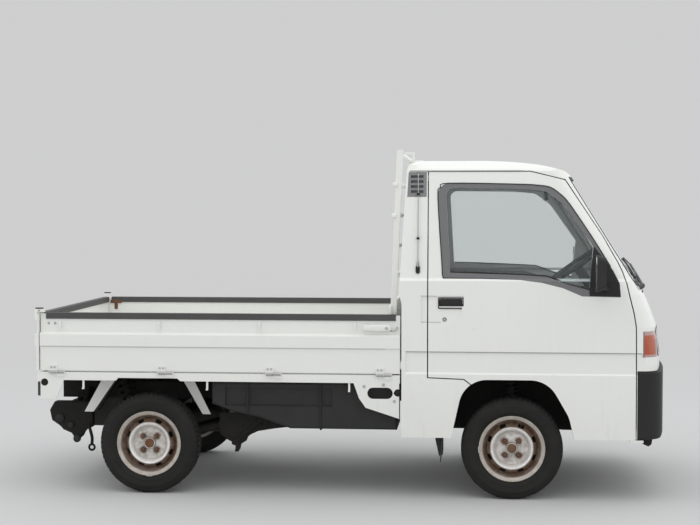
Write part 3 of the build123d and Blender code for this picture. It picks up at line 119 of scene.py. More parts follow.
class Finish:
    """A material made of nodes: fixed values of its shader, then what changes over the surface."""

    def __init__(self, name, **fixed):
        self.material = bpy.data.materials.new(name)
        self.material.use_nodes = True
        self.tree = self.material.node_tree
        self.shader = self.tree.nodes["Principled BSDF"]
        for key, value in fixed.items():
            self.shader.inputs[key.replace("_", " ")].default_value = value

    def node(self, kind, settings=None, inputs=None, output=0):
        """A node of any type: its settings first, then the values or links of its sockets."""
        made = self.tree.nodes.new("ShaderNode" + kind)
        for key, value in (settings or {}).items():
            setattr(made, key, value)
        for key, value in (inputs or {}).items():
            if isinstance(value, Wire):
                self.tree.links.new(value.socket, made.inputs[key])
            else:
                made.inputs[key].default_value = value
        return Wire(self.tree, made.outputs[output])

    def mapped(self, output):
        """Three numbers from one of the texture coordinates."""
        spot = self.node("TexCoord", output=output)
        return [self.node("SeparateXYZ", inputs={0: spot}, output=axis) for axis in range(3)]

    def place(self):
        """Object coordinates, which are the truck's own, as three numbers."""
        return self.mapped("Object")

    def facing(self):
        """The way the surface faces, as three numbers."""
        return self.mapped("Normal")

    def noise(self, scale, detail=3.0, roughness=0.5, stretch=(1.0, 1.0, 1.0), offset=(0.0, 0.0, 0.0)):
        """Cloudy pattern from 0 to 1, `scale` blotches to the metre."""
        spot = self.node("TexCoord", output="Object")
        spread = self.node("Mapping", inputs={"Vector": spot, "Scale": stretch, "Location": offset})
        return self.node("TexNoise", inputs={"Vector": spread, "Scale": scale, "Detail": detail,
                                             "Roughness": roughness})

    def step(self, value, low, high):
        """0 below low, 1 above high, with a smooth rise between them."""
        return self.node("MapRange", {"interpolation_type": "SMOOTHSTEP"},
                         {"Value": value, "From Min": low, "From Max": high})

    def mix(self, share, first, second):
        """Colour between two others."""
        return self.node("Mix", {"data_type": "RGBA"}, {0: share, 6: first, 7: second}, 2)

    def waves(self, value, pitch):
        """Smooth ripple from 0 to 1 along a value."""
        return 0.5 + 0.5 * (value * pitch).maths("SINE", value * pitch)

    def between(self, value, rise, fall):
        """1 between a rise and a fall, each given by its start and end, and 0 outside them."""
        return self.step(value, *rise) * (1.0 - self.step(value, *fall))

    def set(self, key, value):
        self.tree.links.new(value.socket, self.shader.inputs[key])

    def bump(self, height, depth):
        """Relief of the given depth in metres."""
        relief = self.node("Bump", inputs={"Height": height, "Distance": depth, "Strength": 1.0})
        self.set("Normal", relief)


def colour(red, green, blue):
    """Opaque colour."""
    return (red, green, blue, 1.0)


def blend_shaders(tree, share, first, second, output):
    """Leads a mix of two shaders to the output node."""
    blend = tree.nodes.new("ShaderNodeMixShader")
    for place, socket in enumerate((share, first, second)):
        tree.links.new(socket, blend.inputs[place])
    tree.links.new(blend.outputs[0], tree.nodes[output].inputs["Surface"])


CREASE_END = 0.006


def white_paint():
    """Old white enamel: yellowish, grimy low down, black underseal in the arches, with painted shade in its
    creases and on the faces that look down under the bed.
    """
    paint = Finish("white_paint", Roughness=0.34, Coat_Roughness=0.12, Coat_Weight=0.35)
    x, y, z = paint.place()
    out = abs(y)
    clouds = paint.noise(1.7, 4.0)
    streaks = paint.noise(14.0, 5.0, 0.6, (3.0, 3.0, 0.22))
    low = 1.0 - paint.step(z, 0.30, 0.70)
    dirt = (paint.step(streaks, 0.50, 0.92) * (0.05 + 0.20 * low) + 0.12 * low * clouds).clamp()
    tone = paint.mix(clouds, colour(0.86, 0.865, 0.825), colour(0.82, 0.825, 0.785))
    tone = paint.mix(dirt, tone, colour(0.36, 0.34, 0.30))
    specks = paint.step(paint.noise(75.0, 2.0), 0.75, 0.79) * paint.step(paint.noise(2.6, 1.0), 0.62, 0.70)
    tone = paint.mix(0.6 * specks, tone, colour(0.20, 0.09, 0.04))

    def line(level, half, start, end, wall):
        """Painted shade: a dark line in a crease at a level, between two stations on the outer skin."""
        band = 1.0 - paint.step(abs(z - level), half * 0.5, half)
        return band * paint.between(x, (start, start + CREASE_END), (end - CREASE_END, end)) \
            * paint.step(out, wall - 0.002, wall)

    # painted shade: dark lines along the creases of the cab, its doors and the gates
    crease_shade = line(0.757, 0.0034, ahead(-0.545), ahead(0.650), 0.683)
    crease_shade = crease_shade + 0.5 * line(0.908, 0.0036, ahead(-0.468), ahead(-0.360), 0.683)
    crease_shade = crease_shade + 0.4 * line(1.042, 0.0036, ahead(-0.468), ahead(-0.385), 0.683)
    crease_shade = crease_shade + 0.35 * line(0.768, 0.0045, behind(-0.560), ahead(-0.640), 0.655)
    tone = paint.mix((0.62 * crease_shade).clamp(), tone, colour(0.05, 0.05, 0.05))
    # underseal in the arches, and painted shade on the faces that look down under the bed
    reach = ((x - FRONT_AXLE) * (x - FRONT_AXLE) + (z - AXLE_Z) * (z - AXLE_Z)) ** 0.5
    arch = (1.0 - paint.step(out, 0.676, 0.684)) * (1.0 - paint.step(reach, 0.385, 0.400))
    underside_shade = (1.0 - paint.step(paint.facing()[2], -0.7, -0.3)) * (1.0 - paint.step(out, 0.600, 0.620)) \
        * (1.0 - paint.step(z, 0.650, 0.660))
    underseal_and_shade = (arch + underside_shade).clamp()
    paint.set("Base Color", paint.mix(underseal_and_shade, tone, paint.mix(clouds, colour(0.012, 0.012, 0.012),
                                                              colour(0.035, 0.033, 0.030))))
    paint.set("Roughness", 0.30 + 0.25 * dirt + 0.35 * underseal_and_shade)
    paint.bump(paint.noise(3.2, 2.0, 0.4), 0.0012)
    return paint.material


def dark_plastic(name, tone, dust=0.25, grain=900.0):
    """Moulded black plastic, faded grey and dusty on top; on the gate caps the light tone and lighter top are
    painted sheen.
    """
    plastic = Finish(name, Specular_IOR_Level=0.32)
    clouds = plastic.noise(7.0, 4.0, 0.6)
    up = plastic.step(plastic.facing()[2], 0.3, 1.0)
    share = (dust * clouds + 0.35 * dust * up).clamp()
    plastic.set("Base Color", plastic.mix(share, colour(tone, tone, tone * 1.04), colour(0.16, 0.155, 0.14)))
    plastic.set("Roughness", 0.5 + 0.25 * clouds)
    plastic.bump(plastic.noise(grain, 2.0), 0.00025)
    return plastic.material


def chassis_black():
    """Black chassis paint under road dust, with rust coming through."""
    paint = Finish("chassis_black", Roughness=0.75, Specular_IOR_Level=0.25)
    clouds = paint.noise(9.0, 5.0, 0.6)
    rust = paint.step(paint.noise(24.0, 4.0, 0.65), 0.58, 0.74)
    tone = paint.mix(clouds, colour(0.006, 0.006, 0.006), colour(0.028, 0.026, 0.023))
    paint.set("Base Color", paint.mix(0.35 * rust, tone, colour(0.06, 0.030, 0.018)))
    paint.bump(paint.noise(140.0, 3.0), 0.0006)
    return paint.material


def cab_floor_mat():
    """Ribbed grey mat on the cab floor, black underseal below."""
    mat = Finish("cab_floor_mat", Roughness=0.8, Specular_IOR_Level=0.25)
    _, y, z = mat.place()
    way = mat.node("NewGeometry", output="True Normal")
    rise = mat.node("SeparateXYZ", inputs={0: way}, output=2)
    top = mat.step(rise, 0.5, 0.8) * mat.step(z, 0.425, 0.429)
    ribs = mat.waves(y, 700.0)
    below = mat.mix(mat.noise(8.0, 4.0), colour(0.006, 0.006, 0.006), colour(0.024, 0.023, 0.021))
    above = mat.mix(ribs, colour(0.035, 0.036, 0.038), colour(0.07, 0.07, 0.072))
    mat.set("Base Color", mat.mix(top, below, above))
    mat.bump(ribs * top + 0.4 * mat.noise(160.0, 3.0), 0.0008)
    return mat.material


def bare_metal(name, tone, rough, rust_share):
    """Worn metal with rust in patches."""
    metal = Finish(name)
    rust = metal.step(metal.noise(30.0, 5.0, 0.6), 0.66 - 0.3 * rust_share, 0.78 - 0.2 * rust_share)
    metal.set("Base Color", metal.mix(rust, colour(*tone), colour(0.16, 0.07, 0.035)))
    metal.set("Metallic", 0.65 - 0.6 * rust)
    metal.set("Roughness", rough + 0.4 * rust)
    metal.bump(metal.noise(220.0, 3.0), 0.0004)
    return metal.material


NUT_PLACE = 0.0354


def wheel_enamel():
    """Silver wheel enamel: beige flange, rusty slotted ring, bright raised ring, rusty nuts and dark cap."""
    enamel = Finish("wheel_enamel")
    x, y, z = enamel.place()
    # the four wheels fold onto one, about its own middle
    across = abs(x - MIDDLE) - HALF_BASE
    up = z - AXLE_Z
    radius = (across * across + up * up) ** 0.5
    patches = enamel.noise(30.0, 5.0, 0.65)
    fine = enamel.noise(140.0, 4.0, 0.6)
    worn = enamel.step(patches, 0.36, 0.62)
    well = enamel.between(radius, (0.107, 0.113), (0.144, 0.154))
    raised = enamel.between(radius, (0.084, 0.092), (0.106, 0.110))
    bowl = 1.0 - enamel.step(radius, 0.074, 0.086)
    nut_across, nut_up = abs(across) - NUT_PLACE, abs(up) - NUT_PLACE
    nut = (nut_across * nut_across + nut_up * nut_up) ** 0.5
    nuts = 1.0 - enamel.step(nut, 0.0100, 0.0125)
    stain = 1.0 - enamel.step(nut, 0.0120, 0.0260)
    cap = 1.0 - enamel.step(radius, 0.0215, 0.0245)
    rust = well * (0.80 + 0.25 * worn) + (0.12 + 0.25 * worn) * bowl + 0.55 * stain * bowl
    rust = (rust + 0.16 * worn * (1.0 - well) + enamel.step(fine, 0.64, 0.78) * 0.25 + 0.8 * nuts).clamp()
    tone = enamel.mix(patches, colour(0.56, 0.52, 0.46), colour(0.43, 0.39, 0.34))
    tone = enamel.mix(raised, tone, colour(0.84, 0.83, 0.81))
    tone = enamel.mix(0.85 * bowl, tone, colour(0.78, 0.76, 0.73))
    tone = enamel.mix(rust, tone, enamel.mix(patches, colour(0.060, 0.034, 0.022), colour(0.17, 0.100, 0.062)))
    tone = enamel.mix(0.92 * cap, tone, colour(0.035, 0.022, 0.016))
    # painted shade: the drum and the barrel's inside, behind the disc, nearly black
    out = abs(y) - TRACK_HALF
    behind_disc_shade = (1.0 - enamel.step(out, 0.004, 0.010)) * (1.0 - enamel.step(radius, 0.150, 0.153))
    enamel.set("Base Color", enamel.mix(behind_disc_shade, tone, colour(0.010, 0.009, 0.008)))
    enamel.set("Metallic", ((0.35 + 0.25 * raised) * (1.0 - rust)).clamp())
    enamel.set("Roughness", 0.34 + 0.42 * rust)
    enamel.bump(fine, 0.0004)
    return enamel.material


def tyre_rubber():
    """Tyre rubber, nearly black, with brown-grey dust on the sidewall."""
    rubber = Finish("tyre_rubber", Roughness=0.8, Specular_IOR_Level=0.3)
    dust = rubber.noise(10.0, 5.0, 0.6)
    fine = rubber.noise(160.0, 4.0, 0.7)
    share = (0.36 * dust * dust + 0.14 * fine).clamp()
    rubber.set("Base Color", rubber.mix(share, colour(0.008, 0.008, 0.008), colour(0.060, 0.055, 0.048)))
    rubber.bump(fine, 0.0004)
    return rubber.material


def clear_glass(name, tint, share):
    """Thin window glass: mostly see-through, with a pale film and clear reflections."""
    glass = Finish(name, Roughness=0.03, Base_Color=colour(*tint), Specular_IOR_Level=0.6)
    through = glass.node("BsdfTransparent", inputs={"Color": colour(0.97, 0.985, 0.98)})
    edge = glass.node("Fresnel", inputs={"IOR": 1.45})
    film = 0.02 * glass.noise(2.5, 3.0)
    blend_shaders(glass.tree, (share + film + 0.9 * edge).clamp().socket, through.socket,
                  glass.shader.outputs[0], "Material Output")
    return glass.material


THREADS = 1900.0


def seat_cloth():
    """Dark grey woven seat cloth."""
    cloth = Finish("seat_cloth", Roughness=0.85, Specular_IOR_Level=0.3)
    x, y, z = cloth.place()
    weft, warp = cloth.waves(x + z, THREADS), cloth.waves(y, THREADS)
    weave = 0.5 * (weft + warp) + 0.25 * cloth.noise(700.0, 2.0)
    clouds = cloth.noise(6.0, 3.0)
    cloth.set("Base Color", cloth.mix(0.45 * weave + 0.4 * clouds, colour(0.060, 0.063, 0.070),
                                      colour(0.16, 0.16, 0.17)))
    cloth.bump(weave, 0.0006)
    return cloth.material


LAMP_Y, LAMP_Z = 0.4475, 0.803


def front_lens():
    """Headlamp glass with flutes over a painted reflection of a round reflector and its bulb; the outer lamp is
    amber with clear ends.
    """
    lens = Finish("front_lens", Roughness=0.12, Coat_Weight=0.8)
    x, y, z = lens.place()
    out = abs(y)
    flutes = lens.waves(y, 640.0)
    bowl_y, bowl_z = out - LAMP_Y, z - LAMP_Z
    bowl = (bowl_y * bowl_y + bowl_z * bowl_z) ** 0.5
    # painted reflection: a bright round reflector with a glint of the bulb in its middle
    reflector_glint = (1.0 - lens.step(bowl, 0.030, 0.062)) * 0.6 + 0.4 * (1.0 - lens.step(bowl, 0.008, 0.016))
    clear = lens.mix(reflector_glint.clamp(), colour(0.34, 0.36, 0.37), colour(0.80, 0.81, 0.80))
    clear = lens.mix(0.35 * flutes, clear, colour(0.22, 0.23, 0.24))
    rim = 1.0 - lens.between(out, (0.3345, 0.3395), (0.5555, 0.5605)) \
        * lens.between(z, (0.738, 0.743), (0.862, 0.867))
    clear = lens.mix(rim.clamp(), clear, colour(0.05, 0.05, 0.05))
    rows = lens.waves(z, 900.0)
    amber = lens.mix(0.30 * rows, colour(0.46, 0.075, 0.016), colour(0.26, 0.035, 0.010))
    ends = (lens.step(z, 0.846, 0.851) + 1.0 - lens.step(z, 0.748, 0.753)).clamp()
    amber = lens.mix(ends, amber, colour(0.46, 0.30, 0.28))
    amber = lens.mix((1.0 - lens.step(x, ahead(0.657), ahead(0.663))).clamp(), amber, colour(0.20, 0.12, 0.11))
    lens.set("Base Color", lens.mix(lens.step(out, 0.5625, 0.5635), clear, amber))
    lens.bump(flutes, 0.0005)
    return lens.material


def rear_lens():
    """Rear lamp: red outside, amber and clear inside, in a dark housing."""
    lens = Finish("rear_lens", Roughness=0.15, Coat_Weight=0.7)
    _, y, z = lens.place()
    out = abs(y)
    ribs = lens.waves(z, 700.0)
    tone = lens.mix(lens.step(out, 0.5700, 0.5705), colour(0.60, 0.60, 0.58), colour(0.50, 0.11, 0.02))
    tone = lens.mix(lens.step(out, 0.6050, 0.6055), tone, colour(0.36, 0.012, 0.012))
    seams = 2.0 - lens.step(abs(out - 0.5702), 0.0012, 0.0020) - lens.step(abs(out - 0.6052), 0.0012, 0.0020)
    edge = 1.0 - lens.between(out, (0.534, 0.537), (0.662, 0.665)) \
        * lens.between(z, (0.509, 0.512), (0.572, 0.575))
    tone = lens.mix(0.35 * ribs, tone, colour(0.05, 0.01, 0.01))
    sides = lens.step(lens.facing()[0], -0.9, -0.5)
    lens.set("Base Color", lens.mix((seams + edge + sides).clamp(), tone, colour(0.02, 0.02, 0.02)))
    lens.bump(ribs, 0.0004)
    return lens.material


MATERIALS = {
    "white_paint": white_paint(),
    "black_plastic": dark_plastic("black_plastic", 0.014, 0.16),
    "black_rubber": dark_plastic("black_rubber", 0.020, 0.25, 500.0),
    "chassis_black": chassis_black(),
    "engine_metal": bare_metal("engine_metal", (0.055, 0.053, 0.050), 0.55, 0.2),
    "exhaust_steel": dark_plastic("exhaust_steel", 0.016, 0.25, 200.0),
    "window_glass": clear_glass("window_glass", (0.74, 0.79, 0.80), 0.02),
    "lamp_lens": front_lens(),
    "red_lens": rear_lens(),
    "seat_cloth": seat_cloth(),
    "wheel_steel": wheel_enamel(),
    "tyre_rubber": tyre_rubber(),
}

# The record's finishes for the solids, and their own for some of them
for part in frame["record"]["subparts"]:
    node = frame["nodes"][part["node"]]
    node.data.materials.clear()
    node.data.materials.append(MATERIALS[part["material_slot"]])
# the gate caps' rubber is given a light tone and more dust on top as painted sheen
OWN_FINISH = {"cab_floor": cab_floor_mat(), "cab_vents": dark_plastic("vent_grey", 0.25, 0.3, 400.0),
              "front_bumper": dark_plastic("bumper_black", 0.010, 0.10, 700.0),
              "gate_trim_right": dark_plastic("gate_cap_rubber_painted_sheen", 0.060, 0.35, 500.0)}
OWN_FINISH["gate_trim_left"] = OWN_FINISH["gate_trim_rear"] = OWN_FINISH["gate_trim_right"]
for side in ("right", "left"):
    OWN_FINISH["window_frame_" + side] = dark_plastic("window_frame_grey", 0.180, 0.3, 500.0)
for name, material in OWN_FINISH.items():
    frame["nodes"][name].data.materials[0] = material

RUBBER = dark_plastic("sealing_rubber", 0.012, 0.15, 700.0)
STEEL = bare_metal("zinc_plate", (0.52, 0.52, 0.50), 0.38, 0.15)
RUSTY = bare_metal("rusty_iron", (0.22, 0.12, 0.07), 0.75, 1.0)
WIPER_METAL = bare_metal("wiper_metal", (0.10, 0.10, 0.105), 0.35, 0.0)
HANDLE_BLACK = dark_plastic("handle_black", 0.014, 0.08, 500.0)
SEALANT = dark_plastic("roof_sealant", 0.42, 0.3, 500.0)
TRIM_GREY = dark_plastic("trim_grey", 0.30, 0.2, 400.0)
MIRROR_GLASS = bare_metal("mirror_glass", (0.82, 0.84, 0.86), 0.04, -1.0)
NUT_RUST = bare_metal("nut_rust", (0.20, 0.12, 0.075), 0.7, 0.9)
TRIM_DARK = dark_plastic("dash_trim", 0.030, 0.2, 400.0)
PAINT = MATERIALS["white_paint"]
CHASSIS = MATERIALS["chassis_black"]

SIDES = (("right", -1), ("left", 1))
WHEELS = [(end + "_" + name, axle, side) for end, axle in (("front", FRONT_AXLE), ("rear", REAR_AXLE))
          for name, side in SIDES]


# Points and lines
def fore(side, *points):
    """Points given ahead of the front axle, out on one side and above the ground."""
    return [Vector((FRONT_AXLE + x, side * y, z)) for x, y, z in points]


def aft(side, *points):
    """Points given ahead of the rear axle, out on one side and above the ground."""
    return [Vector((REAR_AXLE + x, side * y, z)) for x, y, z in points]


def on_wheel(axle, side, radius, out, angle=0.0):
    """Point of a wheel, from its radius, how far out of the wheel's middle it lies, and its angle."""
    return Vector((axle + radius * math.cos(angle), side * (TRACK_HALF + out),
                   AXLE_Z + radius * math.sin(angle)))


def cab_half(z):
    """Half the cab's width at a height above the belt line."""
    return BODY_HALF - 0.015 - (z - BELT_Z) * CAB_LEAN


def on_cab(side, outline, proud):
    """Points on the cab's side above the belt line, so far proud of it."""
    return [Vector((ahead(x), side * (cab_half(z) + proud), z)) for x, z in outline]


def screen_x(y, z):
    """Where the windscreen's outer face lies, from its place across the truck and its height."""
    return ahead(0.659 - (z - BELT_Z) * 0.6342 - y * y / (2 * SCREEN_BOW))


def nose_face(y, z):
    """Where the front panel's outer face lies at lamp height or under the windscreen."""
    bow = y * y / (2 * NOSE_BOW)
    if z > 1.0:
        return ahead(0.7107 - (z - 1.050) * 0.57 - bow)
    return ahead(0.7882 - (z - LAMP_Z) * (0.129 if z > LAMP_Z else 0.0862) - bow)


def circle(count, start=0.0):
    """Angles of points set evenly round a circle."""
    return [start + 2 * math.pi * number / count for number in range(count)]


def rounded(half_x, half_z, radius, steps=5):
    """Corner points of a rounded rectangle about 0, 0."""
    line = []
    for cx, cz, start in ((1, 1, 0), (-1, 1, 90), (-1, -1, 180), (1, -1, 270)):
        for step in range(steps + 1):
            angle = math.radians(start + 90 * step / steps)
            line.append((cx * (half_x - radius) + radius * math.cos(angle),
                         cz * (half_z - radius) + radius * math.sin(angle)))
    return line


def bent(points, steps=6):
    """Smooth line through points."""
    path = [Vector(point) for point in points]
    ends = [2 * path[0] - path[1]] + path + [2 * path[-1] - path[-2]]
    line = []
    for a, b, c, d in zip(ends, ends[1:], ends[2:], ends[3:]):
        for number in range(steps):
            t = number / steps
            line.append(0.5 * ((2 * b) + (c - a) * t + (2 * a - 5 * b + 4 * c - d) * t * t
                               + (3 * b - a - 3 * c + d) * t * t * t))
    return line + [path[-1]]


# Forms: each adds to the shape that it is given
def skin(shape, lines, around=False):
    """Surface through closed lines of points: the last line joins the first, or both ends are closed."""
    rings = [[shape.verts.new(point) for point in line] for line in lines]
    for first, second in zip(rings, rings[1:] + (rings[:1] if around else [])):
        for here in range(len(first)):
            after = (here + 1) % len(first)
            shape.faces.new((first[here], first[after], second[after], second[here]))
    if not around:
        shape.faces.new(rings[0][::-1])
        shape.faces.new(rings[-1])


def slab(shape, corners, push, rim=0.0015, steps=2):
    """Plate on an outline of points in one plane, as thick as push, with rounded edges."""
    push = Vector(push)
    low = [shape.verts.new(corner) for corner in corners]
    high = [shape.verts.new(Vector(corner) + push) for corner in corners]
    faces = [shape.faces.new(low[::-1]), shape.faces.new(high)]
    for here in range(len(corners)):
        after = (here + 1) % len(corners)
        faces.append(shape.faces.new((low[here], low[after], high[after], high[here])))
    if rim:
        edges = list({edge for face in faces for edge in face.edges})
        bmesh.ops.bevel(shape, geom=edges, offset=rim, segments=steps, affect="EDGES", profile=0.5,
                        clamp_overlap=True)


def plate(shape, axle, outline, y, thick, rim=0.0015, steps=2):
    """Plate on a side view's outline, given ahead of an axle and above the ground, with a face at y."""
    slab(shape, [(axle + x, y, z) for x, z in outline], (0, thick, 0), rim, steps)


def brick(shape, low, high, rim=0.0015, steps=2):
    """Rounded block between two corners."""
    (x0, y0, z0), (x1, y1, z1) = low, high
    slab(shape, [(x0, y0, z0), (x1, y0, z0), (x1, y1, z0), (x0, y1, z0)], (0, 0, z1 - z0), rim, steps)


def lathe(shape, profile, spot, axis, sides=24):
    """Round form about an axis through a spot, from (along, radius) pairs."""
    turned = Vector(axis).normalized().to_track_quat("Z", "Y").to_matrix()
    skin(shape, [[Vector(spot) + turned @ Vector((radius * math.cos(angle), radius * math.sin(angle), along))
                  for angle in circle(sides)] for along, radius in profile])


def tube(shape, line, radius, sides=10, tip=None):
    """Round bar along a line, to the radius tip at its far end."""
    line = [Vector(point) for point in line]
    side = None
    rings = []
    for number, point in enumerate(line):
        before, after = line[max(number - 1, 0)], line[min(number + 1, len(line) - 1)]
        along = (after - before).normalized()
        side = side if side is not None else along.orthogonal()
        side = (side - along * side.dot(along)).normalized()
        other = along.cross(side)
        wide = radius if tip is None else radius + (tip - radius) * number / (len(line) - 1)
        rings.append([point + wide * (math.cos(angle) * side + math.sin(angle) * other)
                      for angle in circle(sides)])
    skin(shape, rings)


def coil(shape, foot, head, radius, wire, turns, steps=14):
    """Coil spring from foot to head."""
    way = (head - foot).normalized()
    side = way.orthogonal().normalized()
    other = way.cross(side)
    line = []
    for step in range(turns * steps + 1):
        angle = 2 * math.pi * step / steps
        line.append(foot + (head - foot) * step / (turns * steps)
                    + radius * (math.cos(angle) * side + math.sin(angle) * other))
    tube(shape, line, wire, 8)


def hoop(shape, centre, axis, radius, wire, steps=64, sides=12):
    """Closed ring of round bar about an axis."""
    turned = Vector(axis).normalized().to_track_quat("Z", "Y").to_matrix()
    skin(shape, [[Vector(centre) + turned @ (Vector((math.cos(angle), math.sin(angle), 0.0))
                                             * (radius + wire * math.cos(turn))
                                             + Vector((0, 0, wire * math.sin(turn))))
                  for turn in circle(sides)] for angle in circle(steps)], around=True)


def bolt(shape, spot, axis, radius=0.006, height=0.004):
    """Hexagon bolt head on its washer."""
    lathe(shape, [(0, radius * 1.45), (0.0012, radius * 1.45)], spot, axis, 16)
    lathe(shape, [(0.001, radius), (height * 0.8, radius), (height, radius * 0.82)], spot, axis, 6)


# Pieces
def placed(name, data):
    """Object of the given data in the scene."""
    item = bpy.data.objects.new(name, data)
    bpy.context.scene.collection.objects.link(item)
    return item


def mesh_of(shape, name):
    """The shape as a mesh, its faces turned outwards."""
    bmesh.ops.recalc_face_normals(shape, faces=shape.faces)
    mesh = bpy.data.meshes.new(name)
    shape.to_mesh(mesh)
    shape.free()
    return mesh


def baked(item):
    """Mesh of an object with its modifiers applied; the object goes."""
    depsgraph = bpy.context.evaluated_depsgraph_get()
    mesh = bpy.data.meshes.new_from_object(item.evaluated_get(depsgraph))
    bpy.data.objects.remove(item)
    return mesh


def shown(name, mesh, body, material, angle=35.0):
    """The mesh as a finished piece that moves with a body, smooth where it bends less than the angle."""
    mesh.name = name
    mesh.materials.clear()
    mesh.materials.append(material)
    mesh.polygons.foreach_set("use_smooth", [True] * len(mesh.polygons))
    mesh.set_sharp_from_angle(angle=math.radians(angle))
    piece = placed(name, mesh)
    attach(piece, body)
    return piece


def made(name, body, material, *forms, angle=35.0):
    """A finished piece from its forms, each a function followed by its values."""
    shape = bmesh.new()
    for form, *values in forms:
        form(shape, *values)
    return shown(name, mesh_of(shape, name), body, material, angle)


def copies_group(ring):
    """Node group that sets copies of a block in a ring about Y, joined to a carcass, or in a straight row."""
    group = bpy.data.node_groups.new("ring_of_copies" if ring else "row_of_copies", "GeometryNodeTree")
    own = (("Carcass", "Geometry"),) if ring else (("Start", "Vector"), ("Step", "Vector"))
    for label, kind in own + (("Block", "Object"), ("Count", "Int"), ("Material", "Material")):
        group.interface.new_socket(label, in_out="INPUT", socket_type="NodeSocket" + kind)
    group.interface.new_socket("Whole", in_out="OUTPUT", socket_type="NodeSocketGeometry")
    given = group.nodes.new("NodeGroupInput").outputs

    def node(kind, **sources):
        """First output of a new node that takes the given sockets."""
        made_node = group.nodes.new(kind)
        for key, socket in sources.items():
            group.links.new(socket, made_node.inputs[key.replace("_", " ")])
        return made_node.outputs[0]

    block = group.nodes.new("GeometryNodeObjectInfo")
    group.links.new(given["Block"], block.inputs["Object"])
    places = {"Instance": block.outputs["Geometry"]}
    if ring:
        share = Wire(group, node("GeometryNodeInputIndex")) / Wire(group, given["Count"])
        places["Points"] = node("GeometryNodePoints", Count=given["Count"])
        places["Rotation"] = node("ShaderNodeCombineXYZ", Y=(share * (2 * math.pi)).socket)
    else:
        places["Points"] = node("GeometryNodeMeshLine", Count=given["Count"], Start_Location=given["Start"],
                                Offset=given["Step"])
    whole = node("GeometryNodeInstanceOnPoints", **places)
    if ring:
        whole = node("GeometryNodeJoinGeometry", Geometry=whole)
        group.links.new(given["Carcass"], whole.node.inputs[0])
    whole = node("GeometryNodeRealizeInstances", Geometry=whole)
    whole = node("GeometryNodeSetMaterial", Geometry=whole, Material=given["Material"])
    group.links.new(whole, group.nodes.new("NodeGroupOutput").inputs[0])
    return group


def with_copies(item, group, **values):
    """Mesh of an object after a group's modifier, whose inputs are set by identifier."""
    modifier = item.modifiers.new("copies", "NODES")
    modifier.node_group = group
    for socket in group.interface.items_tree:
        if socket.name in values:
            modifier[socket.identifier] = values[socket.name]
    return baked(item)


# Tyres: a carcass with grooves, and one pitch of tread set round it
TREAD_COUNT = 62
BLOCK_DEPTH = 0.011
HALF_PITCH = 0.012
CARCASS_SIDES = 96
CARCASS = [(0.152, 0.040), (0.152, 0.046), (0.156, 0.050), (0.171, 0.052), (0.180, 0.060), (0.190, 0.067),
           (0.1915, 0.0685), (0.194, 0.0685), (0.1955, 0.0675), (0.208, 0.0715), (0.220, 0.0710),
           (0.2215, 0.0715), (0.223, 0.0705), (0.232, 0.0680), (0.2400, 0.0635), (0.2485, 0.0570),
           (0.2545, 0.0450), (0.2560, 0.0335), (0.2535, 0.0325), (0.2535, 0.0012)]
PITCH_ROWS = [
    # across and reach of each station, then the block's start and end round the tyre, and its skew
    ([(0.0335, 0.2600), (0.0430, 0.2597), (0.0520, 0.2565), (0.0590, 0.2500), (0.0636, 0.2412)],
     -0.0108, 0.0108, 0.003),
    ([(0.0030, 0.2600), (0.0180, 0.2600), (0.0300, 0.2600)], -0.0108, 0.0100, 0.006),
]


def tread_pitch():
    """One pitch of tread at the top of the tyre, its blocks standing on the carcass."""
    shape = bmesh.new()
    for stations, start, end, skew in PITCH_ROWS:
        for hand in (-1, 1):
            lines = []
            for number, (across, reach) in enumerate(stations):
                lean = skew * number / (len(stations) - 1) + (0.0 if hand > 0 else HALF_PITCH)
                foot = reach - BLOCK_DEPTH
                lines.append([(s + lean, hand * across, math.sqrt(r * r - (s + lean) ** 2))
                              for s, r in ((start, reach), (end, reach), (end, foot), (start, foot))])
            skin(shape, lines)
    return bpy.data.objects.new("tread_pitch", mesh_of(shape, "tread_pitch"))


def tyre_mesh():
    """Tyre about the Y axis at the origin, with its tread."""
    profile = [(across, reach) for reach, across in CARCASS]
    profile += [(-across, reach) for across, reach in reversed(profile)]
    shape = bmesh.new()
    skin(shape, [[(reach * math.sin(angle), across, reach * math.cos(angle)) for angle in circle(CARCASS_SIDES)]
                 for across, reach in profile], around=True)
    return with_copies(placed("tyre_carcass", mesh_of(shape, "tyre_carcass")), copies_group(True),
                       Block=tread_pitch(), Count=TREAD_COUNT, Material=MATERIALS["tyre_rubber"])


